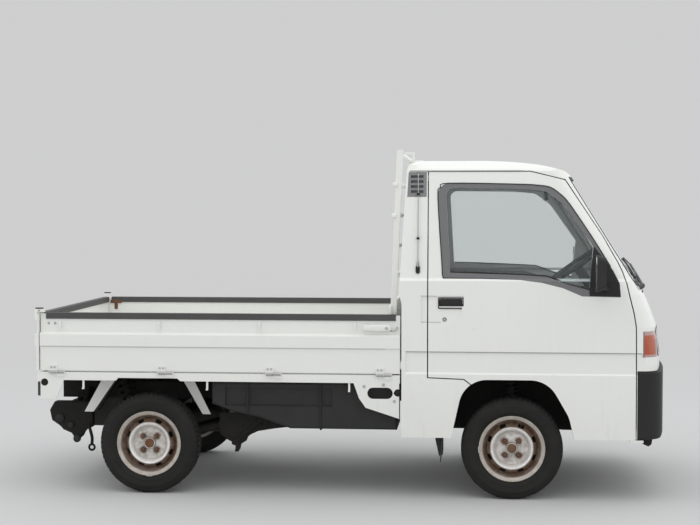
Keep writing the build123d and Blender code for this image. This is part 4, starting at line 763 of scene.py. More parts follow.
one_tyre = tyre_mesh()
for corner, axle, side in WHEELS:
    body = corner + "_wheel"
    out = (0, side, 0)
    mesh = one_tyre.copy()
    mesh.transform(Matrix.Translation(on_wheel(axle, side, 0.0, 0.0)))
    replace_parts(shown("treaded_tyre_" + corner, mesh, body, MATERIALS["tyre_rubber"], 28.0), "tyre_" + corner)
    # valve in one of the disc's slots, and a balance weight clipped over the rim's outer flange
    angle = math.radians(68 if axle > 0 else 157)
    foot, neck, stem, tip = [on_wheel(axle, side, radius, reach, angle) for radius, reach in
                             ((0.126, 0.022), (0.122, 0.042), (0.122, 0.040), (0.120, 0.049))]
    made("valve_" + corner, body, RUBBER, (tube, [foot, neck], 0.0042), (tube, [stem, tip], 0.0030))
    arc = [on_wheel(axle, side, 0.1695, 0.0575, angle + 1.9 + 0.045 * step) for step in range(5)]
    made("balance_weight_" + corner, body, STEEL, (tube, arc, 0.0032, 8))
    # stud ends on the nuts, rim of the centre cap, and a black ring behind the slots as painted shade inside
    # the wheel
    studs = [on_wheel(axle, side, 0.050, 0.038, turn) for turn in circle(4, math.pi / 4)]
    end = [(0, 0.0078), (0.0030, 0.0074), (0.0042, 0.0052), (0.0100, 0.0050), (0.0112, 0.0038)]
    made("wheel_studs_" + corner, body, NUT_RUST,
         *[(lathe, end, spot, out, 14) for spot in studs],
         *[(lathe, [(-0.0135, 0.0135), (-0.0115, 0.0128)], spot, out, 18) for spot in studs])
    hub = on_wheel(axle, side, 0.0, 0.0)
    made("hub_cap_" + corner, body, NUT_RUST,
         (lathe, [(0.023, 0.0320), (0.029, 0.0310), (0.0315, 0.0275)], hub, out, 32),
         (lathe, [(0.035, 0.0250), (0.0405, 0.0245), (0.0425, 0.0200), (0.0415, 0.0120)], hub, out, 32))
    made("drum_shield_" + corner, body, CHASSIS,
         (skin, [[on_wheel(axle, side, radius, reach, turn) for turn in circle(40)] for radius, reach in
                 ((0.0990, -0.002), (0.0990, 0.001), (0.1305, 0.001), (0.1305, -0.002))], True))

# Doors: handle, lock, mirror glass, inner trim, window rubbers and hinges
DOOR_FACE = BODY_HALF - 0.007
TRIM_FACE = BODY_HALF - 0.046
HANDLE_X, HANDLE_Z, HANDLE_HALF = ahead(-0.3115), 1.00575, 0.0655
PILLAR_HINGE_Y = 0.640
DOOR_TRIM = [(-0.395, 0.665), (-0.10, 0.655), (0.14, 0.655), (0.255, 0.600), (0.350, 0.500), (0.390, 0.420),
             (0.470, 0.420), (0.500, 0.860), (0.440, 1.020), (0.300, 1.060), (0.100, 1.115), (-0.395, 1.122)]
BELT_LINE = [(-0.313, 1.163), (-0.18, 1.160), (0.037, 1.152), (0.171, 1.145), (0.215, 1.130), (0.279, 1.106),
             (0.383, 1.079)]
# outside of the window frame, from the belt over the top to the mirror
FRAME_LINE = [(0.030, 1.126), (-0.158, 1.131), (-0.330, 1.133), (-0.3535, 1.140), (-0.3600, 1.220),
              (-0.3810, 1.545), (-0.3690, 1.594), (-0.3250, 1.6165), (0.0350, 1.6110), (0.1250, 1.6060),
              (0.1880, 1.5960), (0.2360, 1.5640), (0.2760, 1.5240), (0.3300, 1.4470), (0.4110, 1.3240),
              (0.4900, 1.1950)]
# cover where the belt rubber ends at the mirror: below and above the level from which the cab leans in
COVER_LEVEL = 1.119
COVER_LOW = [(0.540, 1.044), (0.534, 1.110), (0.5295, COVER_LEVEL), (0.3878, COVER_LEVEL), (0.383, 1.075),
             (0.385, 1.046)]
COVER_HIGH = [(0.5295, COVER_LEVEL), (0.503, 1.173), (0.407, 1.297), (0.3878, COVER_LEVEL)]
mouth, hollow = rounded(HANDLE_HALF, 0.0292, 0.007), rounded(HANDLE_HALF - 0.0045, 0.0240, 0.005)
for name, side in SIDES:
    door = name + "_door"
    out, inward = (0, side, 0), (0, -side, 0)
    made("handle_surround_" + name, door, HANDLE_BLACK,
         (skin, [[(HANDLE_X + x, side * (DOOR_FACE + depth), HANDLE_Z + z) for x, z in line]
                 for line, depth in ((mouth, -0.002), (mouth, 0.0045), (hollow, 0.0064), (hollow, -0.020))]))
    # lifting flap, hinged at its top
    made("handle_flap_" + name, door, HANDLE_BLACK,
         (slab, [(HANDLE_X + x, side * (DOOR_FACE - 0.0085), HANDLE_Z + 0.0055 + z)
                 for x, z in rounded(HANDLE_HALF - 0.007, 0.0168, 0.006)], (0, side * 0.0146, 0), 0.0036, 3),
         (brick, (HANDLE_X - 0.045, side * DOOR_FACE, HANDLE_Z - 0.0105),
          (HANDLE_X + 0.045, side * (DOOR_FACE + 0.0035), HANDLE_Z - 0.0065), 0.001))
    spot = (ahead(-0.344), side * (DOOR_FACE - 0.001), 0.9225)
    made("lock_ring_" + name, door, HANDLE_BLACK,
         (lathe, [(0, 0.0105), (0.0022, 0.0105), (0.0032, 0.0090), (0.0030, 0.0074)], spot, out, 28))
    made("lock_barrel_" + name, door, STEEL,
         (lathe, [(0.001, 0.0070), (0.0036, 0.0070), (0.0042, 0.0062), (0.0040, 0.0020)], spot, out, 24))
    # mirror glass in the head's rear recess
    made("mirror_glass_" + name, door, MIRROR_GLASS,
         (slab, [(ahead(0.4115), side * 0.790 + y, 1.165 + z) for y, z in rounded(0.0585, 0.0855, 0.025)],
          (0.0022, 0, 0), 0.0006))
    # trim panel inside the door, with its armrest, winder and pull
    made("door_trim_" + name, door, TRIM_GREY,
         (plate, FRONT_AXLE, DOOR_TRIM, side * TRIM_FACE, -side * 0.004, 0.002))
    made("door_fittings_" + name, door, RUBBER,
         (brick, *fore(side, (-0.30, TRIM_FACE - 0.036, 0.86), (0.06, TRIM_FACE - 0.004, 0.895)), 0.010, 3),
         (lathe, [(0, 0.022), (0.010, 0.021), (0.014, 0.014)],
          *fore(side, (0.19, TRIM_FACE - 0.004, 0.80)), inward),
         (tube, fore(side, (0.19, TRIM_FACE - 0.016, 0.80), (0.11, TRIM_FACE - 0.024, 0.775)), 0.006),
         (lathe, [(0, 0.011), (0.024, 0.009)], *fore(side, (0.11, TRIM_FACE - 0.024, 0.775)), inward),
         (brick, *fore(side, (0.24, TRIM_FACE - 0.020, 0.945), (0.34, TRIM_FACE - 0.004, 0.975)), 0.005))
    # two hinges on the pillar's hidden face
    levels = (0.52, 0.90)
    made("pillar_hinges_" + name, "truck", PAINT,
         *[(lathe, [(-0.022, 0.007), (0.022, 0.007)], *fore(side, (0.628, PILLAR_HINGE_Y, level)),
            (0, 0, 1), 14) for level in levels],
         *[(brick, *fore(side, (0.632, PILLAR_HINGE_Y - 0.004, level - 0.022),
                         (0.655, PILLAR_HINGE_Y + 0.004, level + 0.022))) for level in levels])
    made("belt_rubber_" + name, door, RUBBER, (tube, on_cab(side, BELT_LINE, -0.008), 0.0042, 8))
    made("frame_rubber_" + name, door, RUBBER, (tube, bent(on_cab(side, FRAME_LINE, 0.0006), 4), 0.0026, 8))
    made("mirror_cover_" + name, door, HANDLE_BLACK,
         *[(skin, [[(ahead(x), side * (BODY_HALF + 0.0010 - max(z - COVER_LEVEL, 0.0) * 0.194 - depth), z)
                    for x, z in outline] for depth in (0.0, 0.012)]) for outline in (COVER_LOW, COVER_HIGH)])
    # rain gutter along the side of the roof
    made("roof_seam_" + name, "truck", SEALANT,
         (tube, on_cab(side, [(-0.525, 1.6795), (-0.30, 1.6795), (0.05, 1.6795)], 0.0012), 0.0030, 8))

# Radio mast on the right pillar, which leans with the cab's side
MAST = -0.481
MAST_WAY = (0, 0.127, 1)
foot_y = -cab_half(1.175)
made("mast_foot", "truck", RUBBER,
     (slab, [(ahead(MAST) + x, foot_y + 0.001, 1.175 + z) for x, z in rounded(0.011, 0.021, 0.0108, 7)],
      (0, -0.009, 0.001), 0.003, 3),
     (lathe, [(0, 0.0062), (0.030, 0.0050), (0.040, 0.0036)], (ahead(MAST), foot_y - 0.006, 1.182),
      MAST_WAY, 16))
made("mast", "truck", STEEL,
     (tube, on_cab(-1, [(MAST, z) for z in (1.19, 1.30, 1.42, 1.53)], 0.012), 0.0034),
     (tube, on_cab(-1, [(MAST, z) for z in (1.52, 1.60, 1.652)], 0.012), 0.0020),
     (lathe, [(0, 0.0020), (0.004, 0.0044), (0.009, 0.0040), (0.012, 0.0014)],
      *on_cab(-1, [(MAST, 1.652)], 0.012), MAST_WAY, 14))
made("mast_clips", "truck", RUBBER,
     *[(brick, (ahead(MAST) - 0.007, -cab_half(level) - 0.017, level - 0.006),
        (ahead(MAST) + 0.007, -cab_half(level) + 0.002, level + 0.006), 0.002) for level in (1.335, 1.560)])

# Wipers: spindle cap, arm and blade
OUT_OF_GLASS = Vector((0.845, 0, 0.535))
BLADE_STEPS = 8
arms, blades = [], []
for pivot_y in (-0.470, 0.050):
    foot = Vector((screen_x(pivot_y, 1.078) + 0.004, pivot_y, 1.082))
    head_y = pivot_y + 0.224
    head = Vector((screen_x(head_y, 1.188) + 0.020, head_y, 1.190))
    elbow = foot.lerp(head, 0.3) + OUT_OF_GLASS * 0.010
    blade = []
    for share in [step / BLADE_STEPS for step in range(BLADE_STEPS + 1)]:
        y, z = pivot_y + 0.03 + 0.40 * share, 1.128 + 0.085 * share
        blade.append(Vector((screen_x(y, z) + 0.0045, y, z)))
    holder = [point + OUT_OF_GLASS * (0.008 + 0.005 * math.sin(math.pi * step / BLADE_STEPS))
              for step, point in enumerate(blade)]
    arms += [(lathe, [(-0.010, 0.0160), (0.014, 0.0150), (0.022, 0.0105), (0.026, 0.0040)], foot,
              OUT_OF_GLASS, 20),
             (tube, bent([foot + OUT_OF_GLASS * 0.012, elbow, head]), 0.0095, 8, 0.0060),
             (tube, holder, 0.0042, 6)]
    blades.append((tube, blade, 0.0048, 6))
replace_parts(made("wiper_arms", "truck", WIPER_METAL, *arms), "wipers")
made("wiper_blades", "truck", RUBBER, *blades)

# Gates: bolts, latches, rope hooks, hinge barrels, and what the body carries beside them
HINGE_LEVEL = 0.635
HINGE_BARREL = 0.0078
HINGE_HALF = 0.040
HINGE_STATIONS = (-0.477, 0.098, 0.663, 1.232)
STRAP_BOLTS = (-0.030, -0.012)
STRAP_LEVEL = 0.660
GATE_FACE = BODY_HALF - 0.022
KEEPER_FACE = BODY_HALF - 0.0415
BARREL_STEEL = bare_metal("barrel_steel", (0.46, 0.46, 0.45), 0.45, 0.25)
LATCH_LEVER = [(-0.764, 0.872), (-0.744, 0.862), (-0.660, 0.859), (-0.628, 0.866), (-0.626, 0.886),
               (-0.660, 0.893), (-0.744, 0.892)]
for name, side in SIDES:
    gate = name + "_gate"
    out = (0, side, 0)
    made("gate_bolts_" + name, gate, STEEL,
         *[(bolt, *aft(side, (x, GATE_FACE - 0.0005, 0.888)), out, 0.0052) for x in (-0.525, -0.491, 1.150)],
         *[(bolt, *aft(side, (x + along, BODY_HALF - 0.0005, STRAP_LEVEL)), out, 0.0045, 0.003)
           for x in HINGE_STATIONS for along in STRAP_BOLTS])
    # front latch: lever with its grip, then pivot and hook
    made("latch_lever_" + name, gate, PAINT,
         (plate, FRONT_AXLE, LATCH_LEVER, side * (BODY_HALF - 0.0095), side * 0.0065, 0.0025, 3))
    made("latch_hook_" + name, gate, STEEL,
         (lathe, [(0, 0.0090), (0.0050, 0.0085), (0.0070, 0.0050)],
          *fore(side, (-0.640, BODY_HALF - 0.0070, 0.876)), out, 20),
         (tube, bent(fore(side, (-0.640, BODY_HALF - 0.012, 0.870), (-0.612, BODY_HALF - 0.012, 0.862),
                          (-0.590, BODY_HALF - 0.013, 0.868), (-0.586, BODY_HALF - 0.016, 0.882))), 0.0042))
    # rope hooks under the cap
    made("rope_hooks_" + name, gate, PAINT,
         *[(tube, bent(aft(side, (x, GATE_FACE - 0.002, 0.8975), (x, GATE_FACE + 0.010, 0.8965),
                           (x, GATE_FACE + 0.0125, 0.886), (x, GATE_FACE + 0.0115, 0.862)), 4), 0.0040)
           for x in (-0.461, 0.062, 0.588, 1.082)])
    # rear latch on the corner: its black cap and bolt
    made("latch_cap_" + name, "tail_gate", RUBBER,
         (brick, *aft(side, (-0.592, BODY_HALF - 0.0255, 0.9640), (-0.552, BODY_HALF - 0.0015, 0.9700)),
          0.0025, 3))
    made("latch_bolt_" + name, "tail_gate", STEEL,
         (bolt, *aft(side, (-0.570, BODY_HALF - 0.0005, 0.955)), out, 0.0050, 0.0005))
    # rusty keeper inside the rear corner
    made("corner_keeper_" + name, gate, RUSTY,
         (brick, *aft(side, (-0.520, KEEPER_FACE, 0.868), (-0.500, KEEPER_FACE - 0.006, 0.925)), 0.002),
         (brick, *aft(side, (-0.545, KEEPER_FACE - 0.001, 0.905), (-0.475, KEEPER_FACE - 0.008, 0.925)), 0.002))
    # bolts of the bracket panel, and the two large body bolts on their washers
    made("bracket_bolts_" + name, "truck", STEEL,
         *[(bolt, *fore(side, (x, 0.6878, z)), out, 0.0060)
           for x, z in ((-0.755, 0.575), (-0.655, 0.584), (-0.600, 0.500))])
    body_bolts = ((behind(-0.546), 0.580), (ahead(-0.5815), 0.544))
    made("body_bolts_" + name, "truck", CHASSIS,
         *[(lathe, [(-0.004, 0.0190), (0.0008, 0.0190), (0.0016, 0.0170)], (x, side * 0.6880, z), out)
           for x, z in body_bolts],
         *[(bolt, (x, side * 0.6894, z), out, 0.0095, 0.006) for x, z in body_bolts])
    # barrels of the gate's hinges, half on the sill and half on the gate, with the pin's head
    ends = aft(side, *[(x, BODY_HALF, HINGE_LEVEL) for x in HINGE_STATIONS])
    starts = aft(side, *[(x - HINGE_HALF, BODY_HALF, HINGE_LEVEL) for x in HINGE_STATIONS])
    made("sill_barrels_" + name, "truck", BARREL_STEEL,
         *[(lathe, [(0.001, HINGE_BARREL), (HINGE_HALF - 0.002, HINGE_BARREL)], end, (1, 0, 0), 20)
           for end in ends])
    made("gate_barrels_" + name, gate, BARREL_STEEL,
         *[(lathe, [(0.002, HINGE_BARREL), (HINGE_HALF - 0.001, HINGE_BARREL)], start, (1, 0, 0), 20)
           for start in starts],
         *[(lathe, [(0, 0.0052), (0.003, 0.0052), (0.0045, 0.0030)], start, (-1, 0, 0), 14)
           for start in starts])

# Rear gate: strap bolts and rope hooks
made("rear_gate_bolts", "tail_gate", STEEL,
     *[(bolt, (behind(-0.5935), y + along, STRAP_LEVEL), (-1, 0, 0), 0.0045, 0.0025)
       for y in (-0.520, -0.180, 0.180, 0.520) for along in STRAP_BOLTS])
made("rear_rope_hooks", "tail_gate", PAINT,
     *[(tube, bent(aft(1, (-0.579, y, 0.8975), (-0.590, y, 0.8965), (-0.5920, y, 0.886),
                       (-0.591, y, 0.866)), 4), 0.0040) for y in (-0.45, 0.0, 0.45)])

# Guard frame: bolts at the feet and end knobs
made("guard_bolts", "truck", PAINT,
     *[(bolt, *fore(side, (-0.6375, 0.600, level)), (-1, 0, 0), 0.0070, 0.005)
       for name, side in SIDES for level in (0.70, 0.83)],
     *[(lathe, [(0, 0.013), (tall - 0.004, 0.013), (tall, 0.008)], *fore(side, (x, 0.6165, z)),
        (0, side, 0), 20)
       for name, side in SIDES for x, z, tall in ((-0.600, 1.610, 0.014), (-0.606, 1.450, 0.012))])

# Springs, hoses and linkages under the body
REAR_STAY = [(-0.560, 0.450), (-0.588, 0.402), (-0.576, 0.345), (-0.534, 0.328), (-0.515, 0.296),
             (-0.462, 0.284), (-0.457, 0.253), (-0.436, 0.240), (-0.410, 0.262), (-0.398, 0.298),
             (-0.352, 0.312), (-0.352, 0.450)]
CABLE_BRACKET = [(0.537, 0.308), (0.505, 0.292), (0.489, 0.255), (0.462, 0.240), (0.448, 0.197), (0.426, 0.196),
                 (0.432, 0.229), (0.408, 0.236), (0.415, 0.268), (0.438, 0.262), (0.457, 0.284), (0.473, 0.308),
                 (0.516, 0.330), (0.572, 0.396), (0.600, 0.400), (0.604, 0.330)]
ARM_GUARD = [(0.345, 0.404), (0.345, 0.292), (0.382, 0.262), (0.406, 0.249), (0.433, 0.249), (0.470, 0.262),
             (0.510, 0.288), (0.551, 0.308), (0.640, 0.322), (0.776, 0.338), (0.776, 0.372), (0.604, 0.404)]
SPLASH_PANEL = [(-0.391, 0.360), (-0.352, 0.372), (-0.352, 0.220), (-0.372, 0.213), (-0.391, 0.300)]
BUMPER_STAY = [(0.640, 0.330), (0.712, 0.330), (0.706, 0.290), (0.690, 0.277), (0.668, 0.292), (0.647, 0.300)]
for name, side in SIDES:
    out = (0, side, 0)
    made("front_spring_" + name, "truck", CHASSIS,
         (coil, *fore(side, (0.0, 0.495, 0.455), (0.0, 0.495, 0.590)), 0.030, 0.0050, 6))
    made("rear_spring_" + name, "truck", CHASSIS,
         (coil, *aft(side, (-0.100, 0.4480, 0.335), (-0.205, 0.3850, 0.560)), 0.040, 0.0065, 7),
         (lathe, [(-0.006, 0.050), (0.0, 0.052), (0.004, 0.040)], *aft(side, (-0.205, 0.385, 0.566)),
          (-0.42, -side * 0.25, 0.88), 20))
    # towing eye and the bent stay above it, behind the rear wheel
    made("tie_eye_" + name, "truck", CHASSIS,
         (hoop, *aft(side, (-0.348, 0.500, 0.209)), (0, 1, 0), 0.0150, 0.0060, 28, 8),
         (tube, bent(aft(side, (-0.348, 0.500, 0.224), (-0.350, 0.490, 0.262), (-0.370, 0.470, 0.330),
                         (-0.385, 0.400, 0.430), (-0.385, 0.3335, 0.470))), 0.0085, 8))
    made("rear_stay_" + name, "truck", CHASSIS,
         (plate, REAR_AXLE, REAR_STAY, side * 0.470, -side * 0.050, 0.006),
         (tube, aft(side, (-0.40, 0.425, 0.44), (-0.40, 0.335, 0.50)), 0.016, 8))
    made("stay_bushes_" + name, "truck", RUBBER,
         *[(lathe, [(0, r), (0.012, r), (0.016, r * 0.7)], *aft(side, (x, 0.469, z)), out, 18)
           for x, z, r in ((-0.436, 0.250, 0.020), (-0.530, 0.360, 0.024), (-0.470, 0.325, 0.017))])
    # trailing arm's bush, and the brake hose
    made("arm_bush_" + name, "truck", RUBBER,
         (lathe, [(0, 0.034), (0.016, 0.034), (0.020, 0.024), (0.020, 0.010)],
          *aft(side, (0.369, 0.470, 0.338)), out))
    made("brake_hose_" + name, "truck", RUBBER,
         (tube, bent(aft(side, (0.330, 0.430, 0.455), (0.385, 0.470, 0.380), (0.400, 0.485, 0.330),
                         (0.372, 0.470, 0.300)), 8), 0.0070, 8))
    # bent cable bracket before the rear wheel with its cable, hung from the rail
    made("cable_bracket_" + name, "truck", CHASSIS,
         (plate, REAR_AXLE, CABLE_BRACKET, side * 0.500, -side * 0.007, 0.0012, 1),
         (tube, bent(aft(side, (0.452, 0.508, 0.214), (0.470, 0.510, 0.262), (0.540, 0.508, 0.318),
                         (0.586, 0.480, 0.372), (0.600, 0.3335, 0.470)), 6), 0.0060, 8))
    # pressed guard over the front of the trailing arm, between the wheel and the tank
    made("arm_guard_" + name, "truck", CHASSIS,
         (plate, REAR_AXLE, ARM_GUARD, side * 0.494, -side * 0.004, 0.0012, 1),
         (tube, aft(side, (0.470, 0.492, 0.330), (0.470, 0.332, 0.470)), 0.009, 10))
    # splash panel behind the front wheel, inside the mud flap, and the towing lug under the bumper
    made("splash_panel_" + name, "truck", RUBBER,
         (plate, FRONT_AXLE, SPLASH_PANEL, side * 0.640, -side * 0.140, 0.004))
    made("bumper_stay_" + name, "truck", CHASSIS,
         (plate, FRONT_AXLE, BUMPER_STAY, side * 0.636, -side * 0.030, 0.004))

# Tank: two straps and the drain; exhaust: ribs round the muffler
made("tank_straps", "truck", RUBBER,
     *[(tube, aft(-1, (x, 0.643, 0.590), (x, 0.6435, bottom + 0.010), (x, 0.630, bottom - 0.003),
                  (x, 0.345, bottom - 0.003)), 0.0055, 6) for x, bottom in ((0.520, 0.4189), (0.900, 0.345))],
     (lathe, [(0, 0.016), (0.010, 0.016), (0.014, 0.010)], *aft(-1, (1.10, 0.50, 0.345)), (0, 0, -1), 12))
made("muffler_ribs", "truck", MATERIALS["exhaust_steel"],
     *[(hoop, *aft(1, (-0.505, y, 0.365)), (0, 1, 0), 0.0620, 0.0035, 36, 8)
       for y in (-0.200, -0.110, -0.020, 0.070, 0.160)])

# Front: lamp surrounds, bumper grille with the radiator behind it, and cowl slots
SLOT_COUNT = 11
SLOT_ROW = 0.390
for name, side in SIDES:
    rim = [Vector((nose_face(LAMP_Y + y, LAMP_Z + z) - 0.0008, side * (LAMP_Y + y), LAMP_Z + z))
           for y, z in rounded(0.1165, 0.069, 0.012)]
    made("lamp_surround_" + name, "truck", RUBBER, (tube, rim + rim[:1], 0.0030, 8))
bar = bmesh.new()
brick(bar, (-0.006, -0.306, -0.0045), (0.006, 0.306, 0.0045), 0.002)
bar = bpy.data.objects.new("bumper_bar", mesh_of(bar, "bumper_bar"))
slats = with_copies(placed("slats", bpy.data.meshes.new("slats")), copies_group(False), Block=bar, Count=3,
                    Start=(ahead(0.792), 0, 0.3690), Step=(0, 0, 0.0160), Material=RUBBER)
bpy.data.objects.remove(bar)
shown("bumper_slats", slats, "truck", RUBBER)
made("radiator_core", "truck", CHASSIS, (brick, *fore(1, (0.752, -0.330, 0.345), (0.757, 0.330, 0.425)), 0.001))
slots = [start + SLOT_ROW * (number + 0.5) / SLOT_COUNT
         for start in (-0.500, 0.110) for number in range(SLOT_COUNT)]
made("cowl_slots", "truck", RUBBER,
     *[(slab, [(nose_face(y + across, z) - 0.0004, y + across, z)
               for across, z in ((-0.0135, 1.051), (0.0135, 1.051), (0.0135, 1.060), (-0.0135, 1.060))],
        (0.0014, 0, 0.0008), 0.0) for y in slots])

# Steering wheel: padded rim, three spokes and the horn pad
RIM_CENTRE = Vector((ahead(0.340), -0.330, 1.190))
RAKE = math.radians(35.0)
UP_COLUMN = Vector((-math.sin(RAKE), 0, math.cos(RAKE)))
ACROSS = Vector((0, 1, 0))
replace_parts(made("steering_wheel_rim", "steering_wheel_body", HANDLE_BLACK,
                 (hoop, RIM_CENTRE, UP_COLUMN, 0.177, 0.0128, 72, 14),
                 *[(tube, bent([RIM_CENTRE + UP_COLUMN * -0.014 + way * 0.030,
                                RIM_CENTRE + UP_COLUMN * -0.010 + way * 0.100, RIM_CENTRE + way * 0.172], 4),
                    0.0125, 10, 0.0085) for way in (ACROSS, -ACROSS, UP_COLUMN.cross(ACROSS))],
                 (lathe, [(-0.026, 0.050), (-0.006, 0.056), (0.0, 0.052), (0.003, 0.030)], RIM_CENTRE,
                  UP_COLUMN, 36)), "steering_wheel")

# Dashboard: instrument hood, radio, vents and glove box, then the dials
HOOD = [(0.474, 1.060), (0.505, 1.104), (0.560, 1.112), (0.640, 1.092), (0.655, 1.060)]
made("dash_fittings", "truck", TRIM_DARK,
     (plate, FRONT_AXLE, HOOD, -0.470, 0.280, 0.010, 3),
     (brick, *fore(1, (0.430, -0.085, 0.912), (0.446, 0.085, 0.970)), 0.003),
     *[(brick, *fore(1, (0.436, y - 0.030, 1.000), (0.462, y + 0.030, 1.030)), 0.003)
       for y in (-0.545, -0.120, 0.120, 0.545)],
     (brick, *fore(1, (0.440, 0.190, 0.915), (0.4475, 0.490, 0.975)), 0.004))
made("dials", "truck", MIRROR_GLASS,
     *[(lathe, [(0, 0.034), (0.0025, 0.034), (0.0030, 0.030)], *fore(1, (0.489, y, 1.0765)),
        (-0.82, 0, 0.57), 28) for y in (-0.395, -0.265)])

# Gear lever with its knob and boot, and three pedals
PEDALS = (-0.430, -0.340, -0.245)
made("levers_and_pedals", "truck", HANDLE_BLACK,
     (tube, bent(fore(1, (0.470, 0.0, 0.432), (0.460, 0.0, 0.600), (0.400, 0.0, 0.770))), 0.0070, 10),
     (lathe, [(-0.024, 0.010), (-0.010, 0.020), (0.010, 0.022), (0.022, 0.013), (0.025, 0.004)],
      *fore(1, (0.392, 0.0, 0.792)), (-0.3, 0, 0.95), 20),
     (lathe, [(0, 0.055), (0.020, 0.040), (0.060, 0.012)], *fore(1, (0.470, 0.0, 0.431)), (0, 0, 1)),
     *[(tube, bent(fore(1, (0.660, y, 0.760), (0.640, y, 0.640), (0.610, y, 0.545))), 0.0065, 8)
       for y in PEDALS],
     *[(brick, *fore(1, (0.600, y - 0.028, 0.510), (0.612, y + 0.028, 0.560)), 0.003) for y in PEDALS])

# Sun visors, rear-view mirror, and a grab handle on the passenger's side
made("sun_visors", "truck", TRIM_GREY,
     *[(slab, fore(side, (0.085, 0.130, 1.655), (0.085, 0.500, 1.645), (0.205, 0.490, 1.592),
                   (0.205, 0.130, 1.600)), (0.008, 0, 0.012), 0.004) for name, side in SIDES])
made("inside_mirror", "truck", RUBBER,
     (slab, [(ahead(0.190), y, 1.560 + z) for y, z in rounded(0.105, 0.029, 0.014)], (0.016, 0, 0.004), 0.004),
     (tube, fore(1, (0.205, 0.0, 1.575), (0.262, 0.0, 1.654)), 0.006, 8))
made("grab_handle", "truck", RUBBER,
     (tube, bent(fore(1, (0.452, 0.190, 0.990), (0.415, 0.200, 1.000), (0.412, 0.330, 1.002),
                      (0.415, 0.460, 1.000), (0.452, 0.470, 0.990))), 0.009, 10))

# Seats: plump cushions of woven cloth over foam, with seams and piping
PAD_VOXEL = 0.0085
PAD_PRESSURE = 4.0
PAD_FRAMES = 20
SWELL_MOST = 0.024
SEAM_GAP = 0.012


def plump(name, outline, y_low, y_high, rim):
    """Padded form from a side outline: evened out, then blown up as cloth with its movement capped."""
    shape = bmesh.new()
    plate(shape, FRONT_AXLE, outline, y_low, y_high - y_low, rim, 4)
    form = placed(name + "_form", mesh_of(shape, name))
    even = form.modifiers.new("even", "REMESH")
    even.mode = "VOXEL"
    even.voxel_size = PAD_VOXEL
    mesh = baked(form)
    mesh = blown(name, mesh)
    smooth = placed(name + "_smooth", mesh)
    smooth.modifiers.new("soften", "SMOOTH").iterations = 4
    finer = smooth.modifiers.new("finer", "SUBSURF")
    finer.levels = finer.render_levels = 1
    return baked(smooth)


def blown(name, mesh):
    """The mesh after some frames of cloth under pressure, no point moved further than the cap."""
    start = [vertex.co.copy() for vertex in mesh.vertices]
    bag = placed(name + "_bag", mesh)
    cloth = bag.modifiers.new("filling", "CLOTH")
    cloth.settings.use_pressure = True
    cloth.settings.uniform_pressure_force = PAD_PRESSURE
    cloth.settings.effector_weights.gravity = 0.0
    cloth.point_cache.frame_start = 1
    cloth.point_cache.frame_end = PAD_FRAMES
    for number in range(1, PAD_FRAMES + 1):
        bpy.context.scene.frame_set(number)
    result = baked(bag)
    for vertex, first in zip(result.vertices, start):
        move = vertex.co - first
        if move.length > SWELL_MOST:
            vertex.co = first + move * (SWELL_MOST / move.length)
    bpy.context.scene.frame_set(1)
    return result


def kept_within(mesh, low, high):
    """The mesh held inside a box, where it rests on the deck and against its neighbours."""
    for vertex in mesh.vertices:
        vertex.co = Vector([min(max(value, least), most) for value, least, most in zip(vertex.co, low, high)])


def seam_line(mesh, line, proud):
    """Points of a line laid on the mesh's surface."""
    tree = BVHTree.FromPolygons([vertex.co for vertex in mesh.vertices],
                                [face.vertices for face in mesh.polygons])
    laid = []
    for point in line:
        spot, normal = tree.find_nearest(Vector(point))[:2]
        laid.append(spot + normal * proud)
    return laid


def dense(points):
    """Closed line through points with one every seam gap or so."""
    line = []
    for first, second in zip(points, points[1:] + points[:1]):
        first, second = Vector(first), Vector(second)
        count = max(int((second - first).length / SEAM_GAP), 1)
        line += [first.lerp(second, number / count) for number in range(count)]
    return line


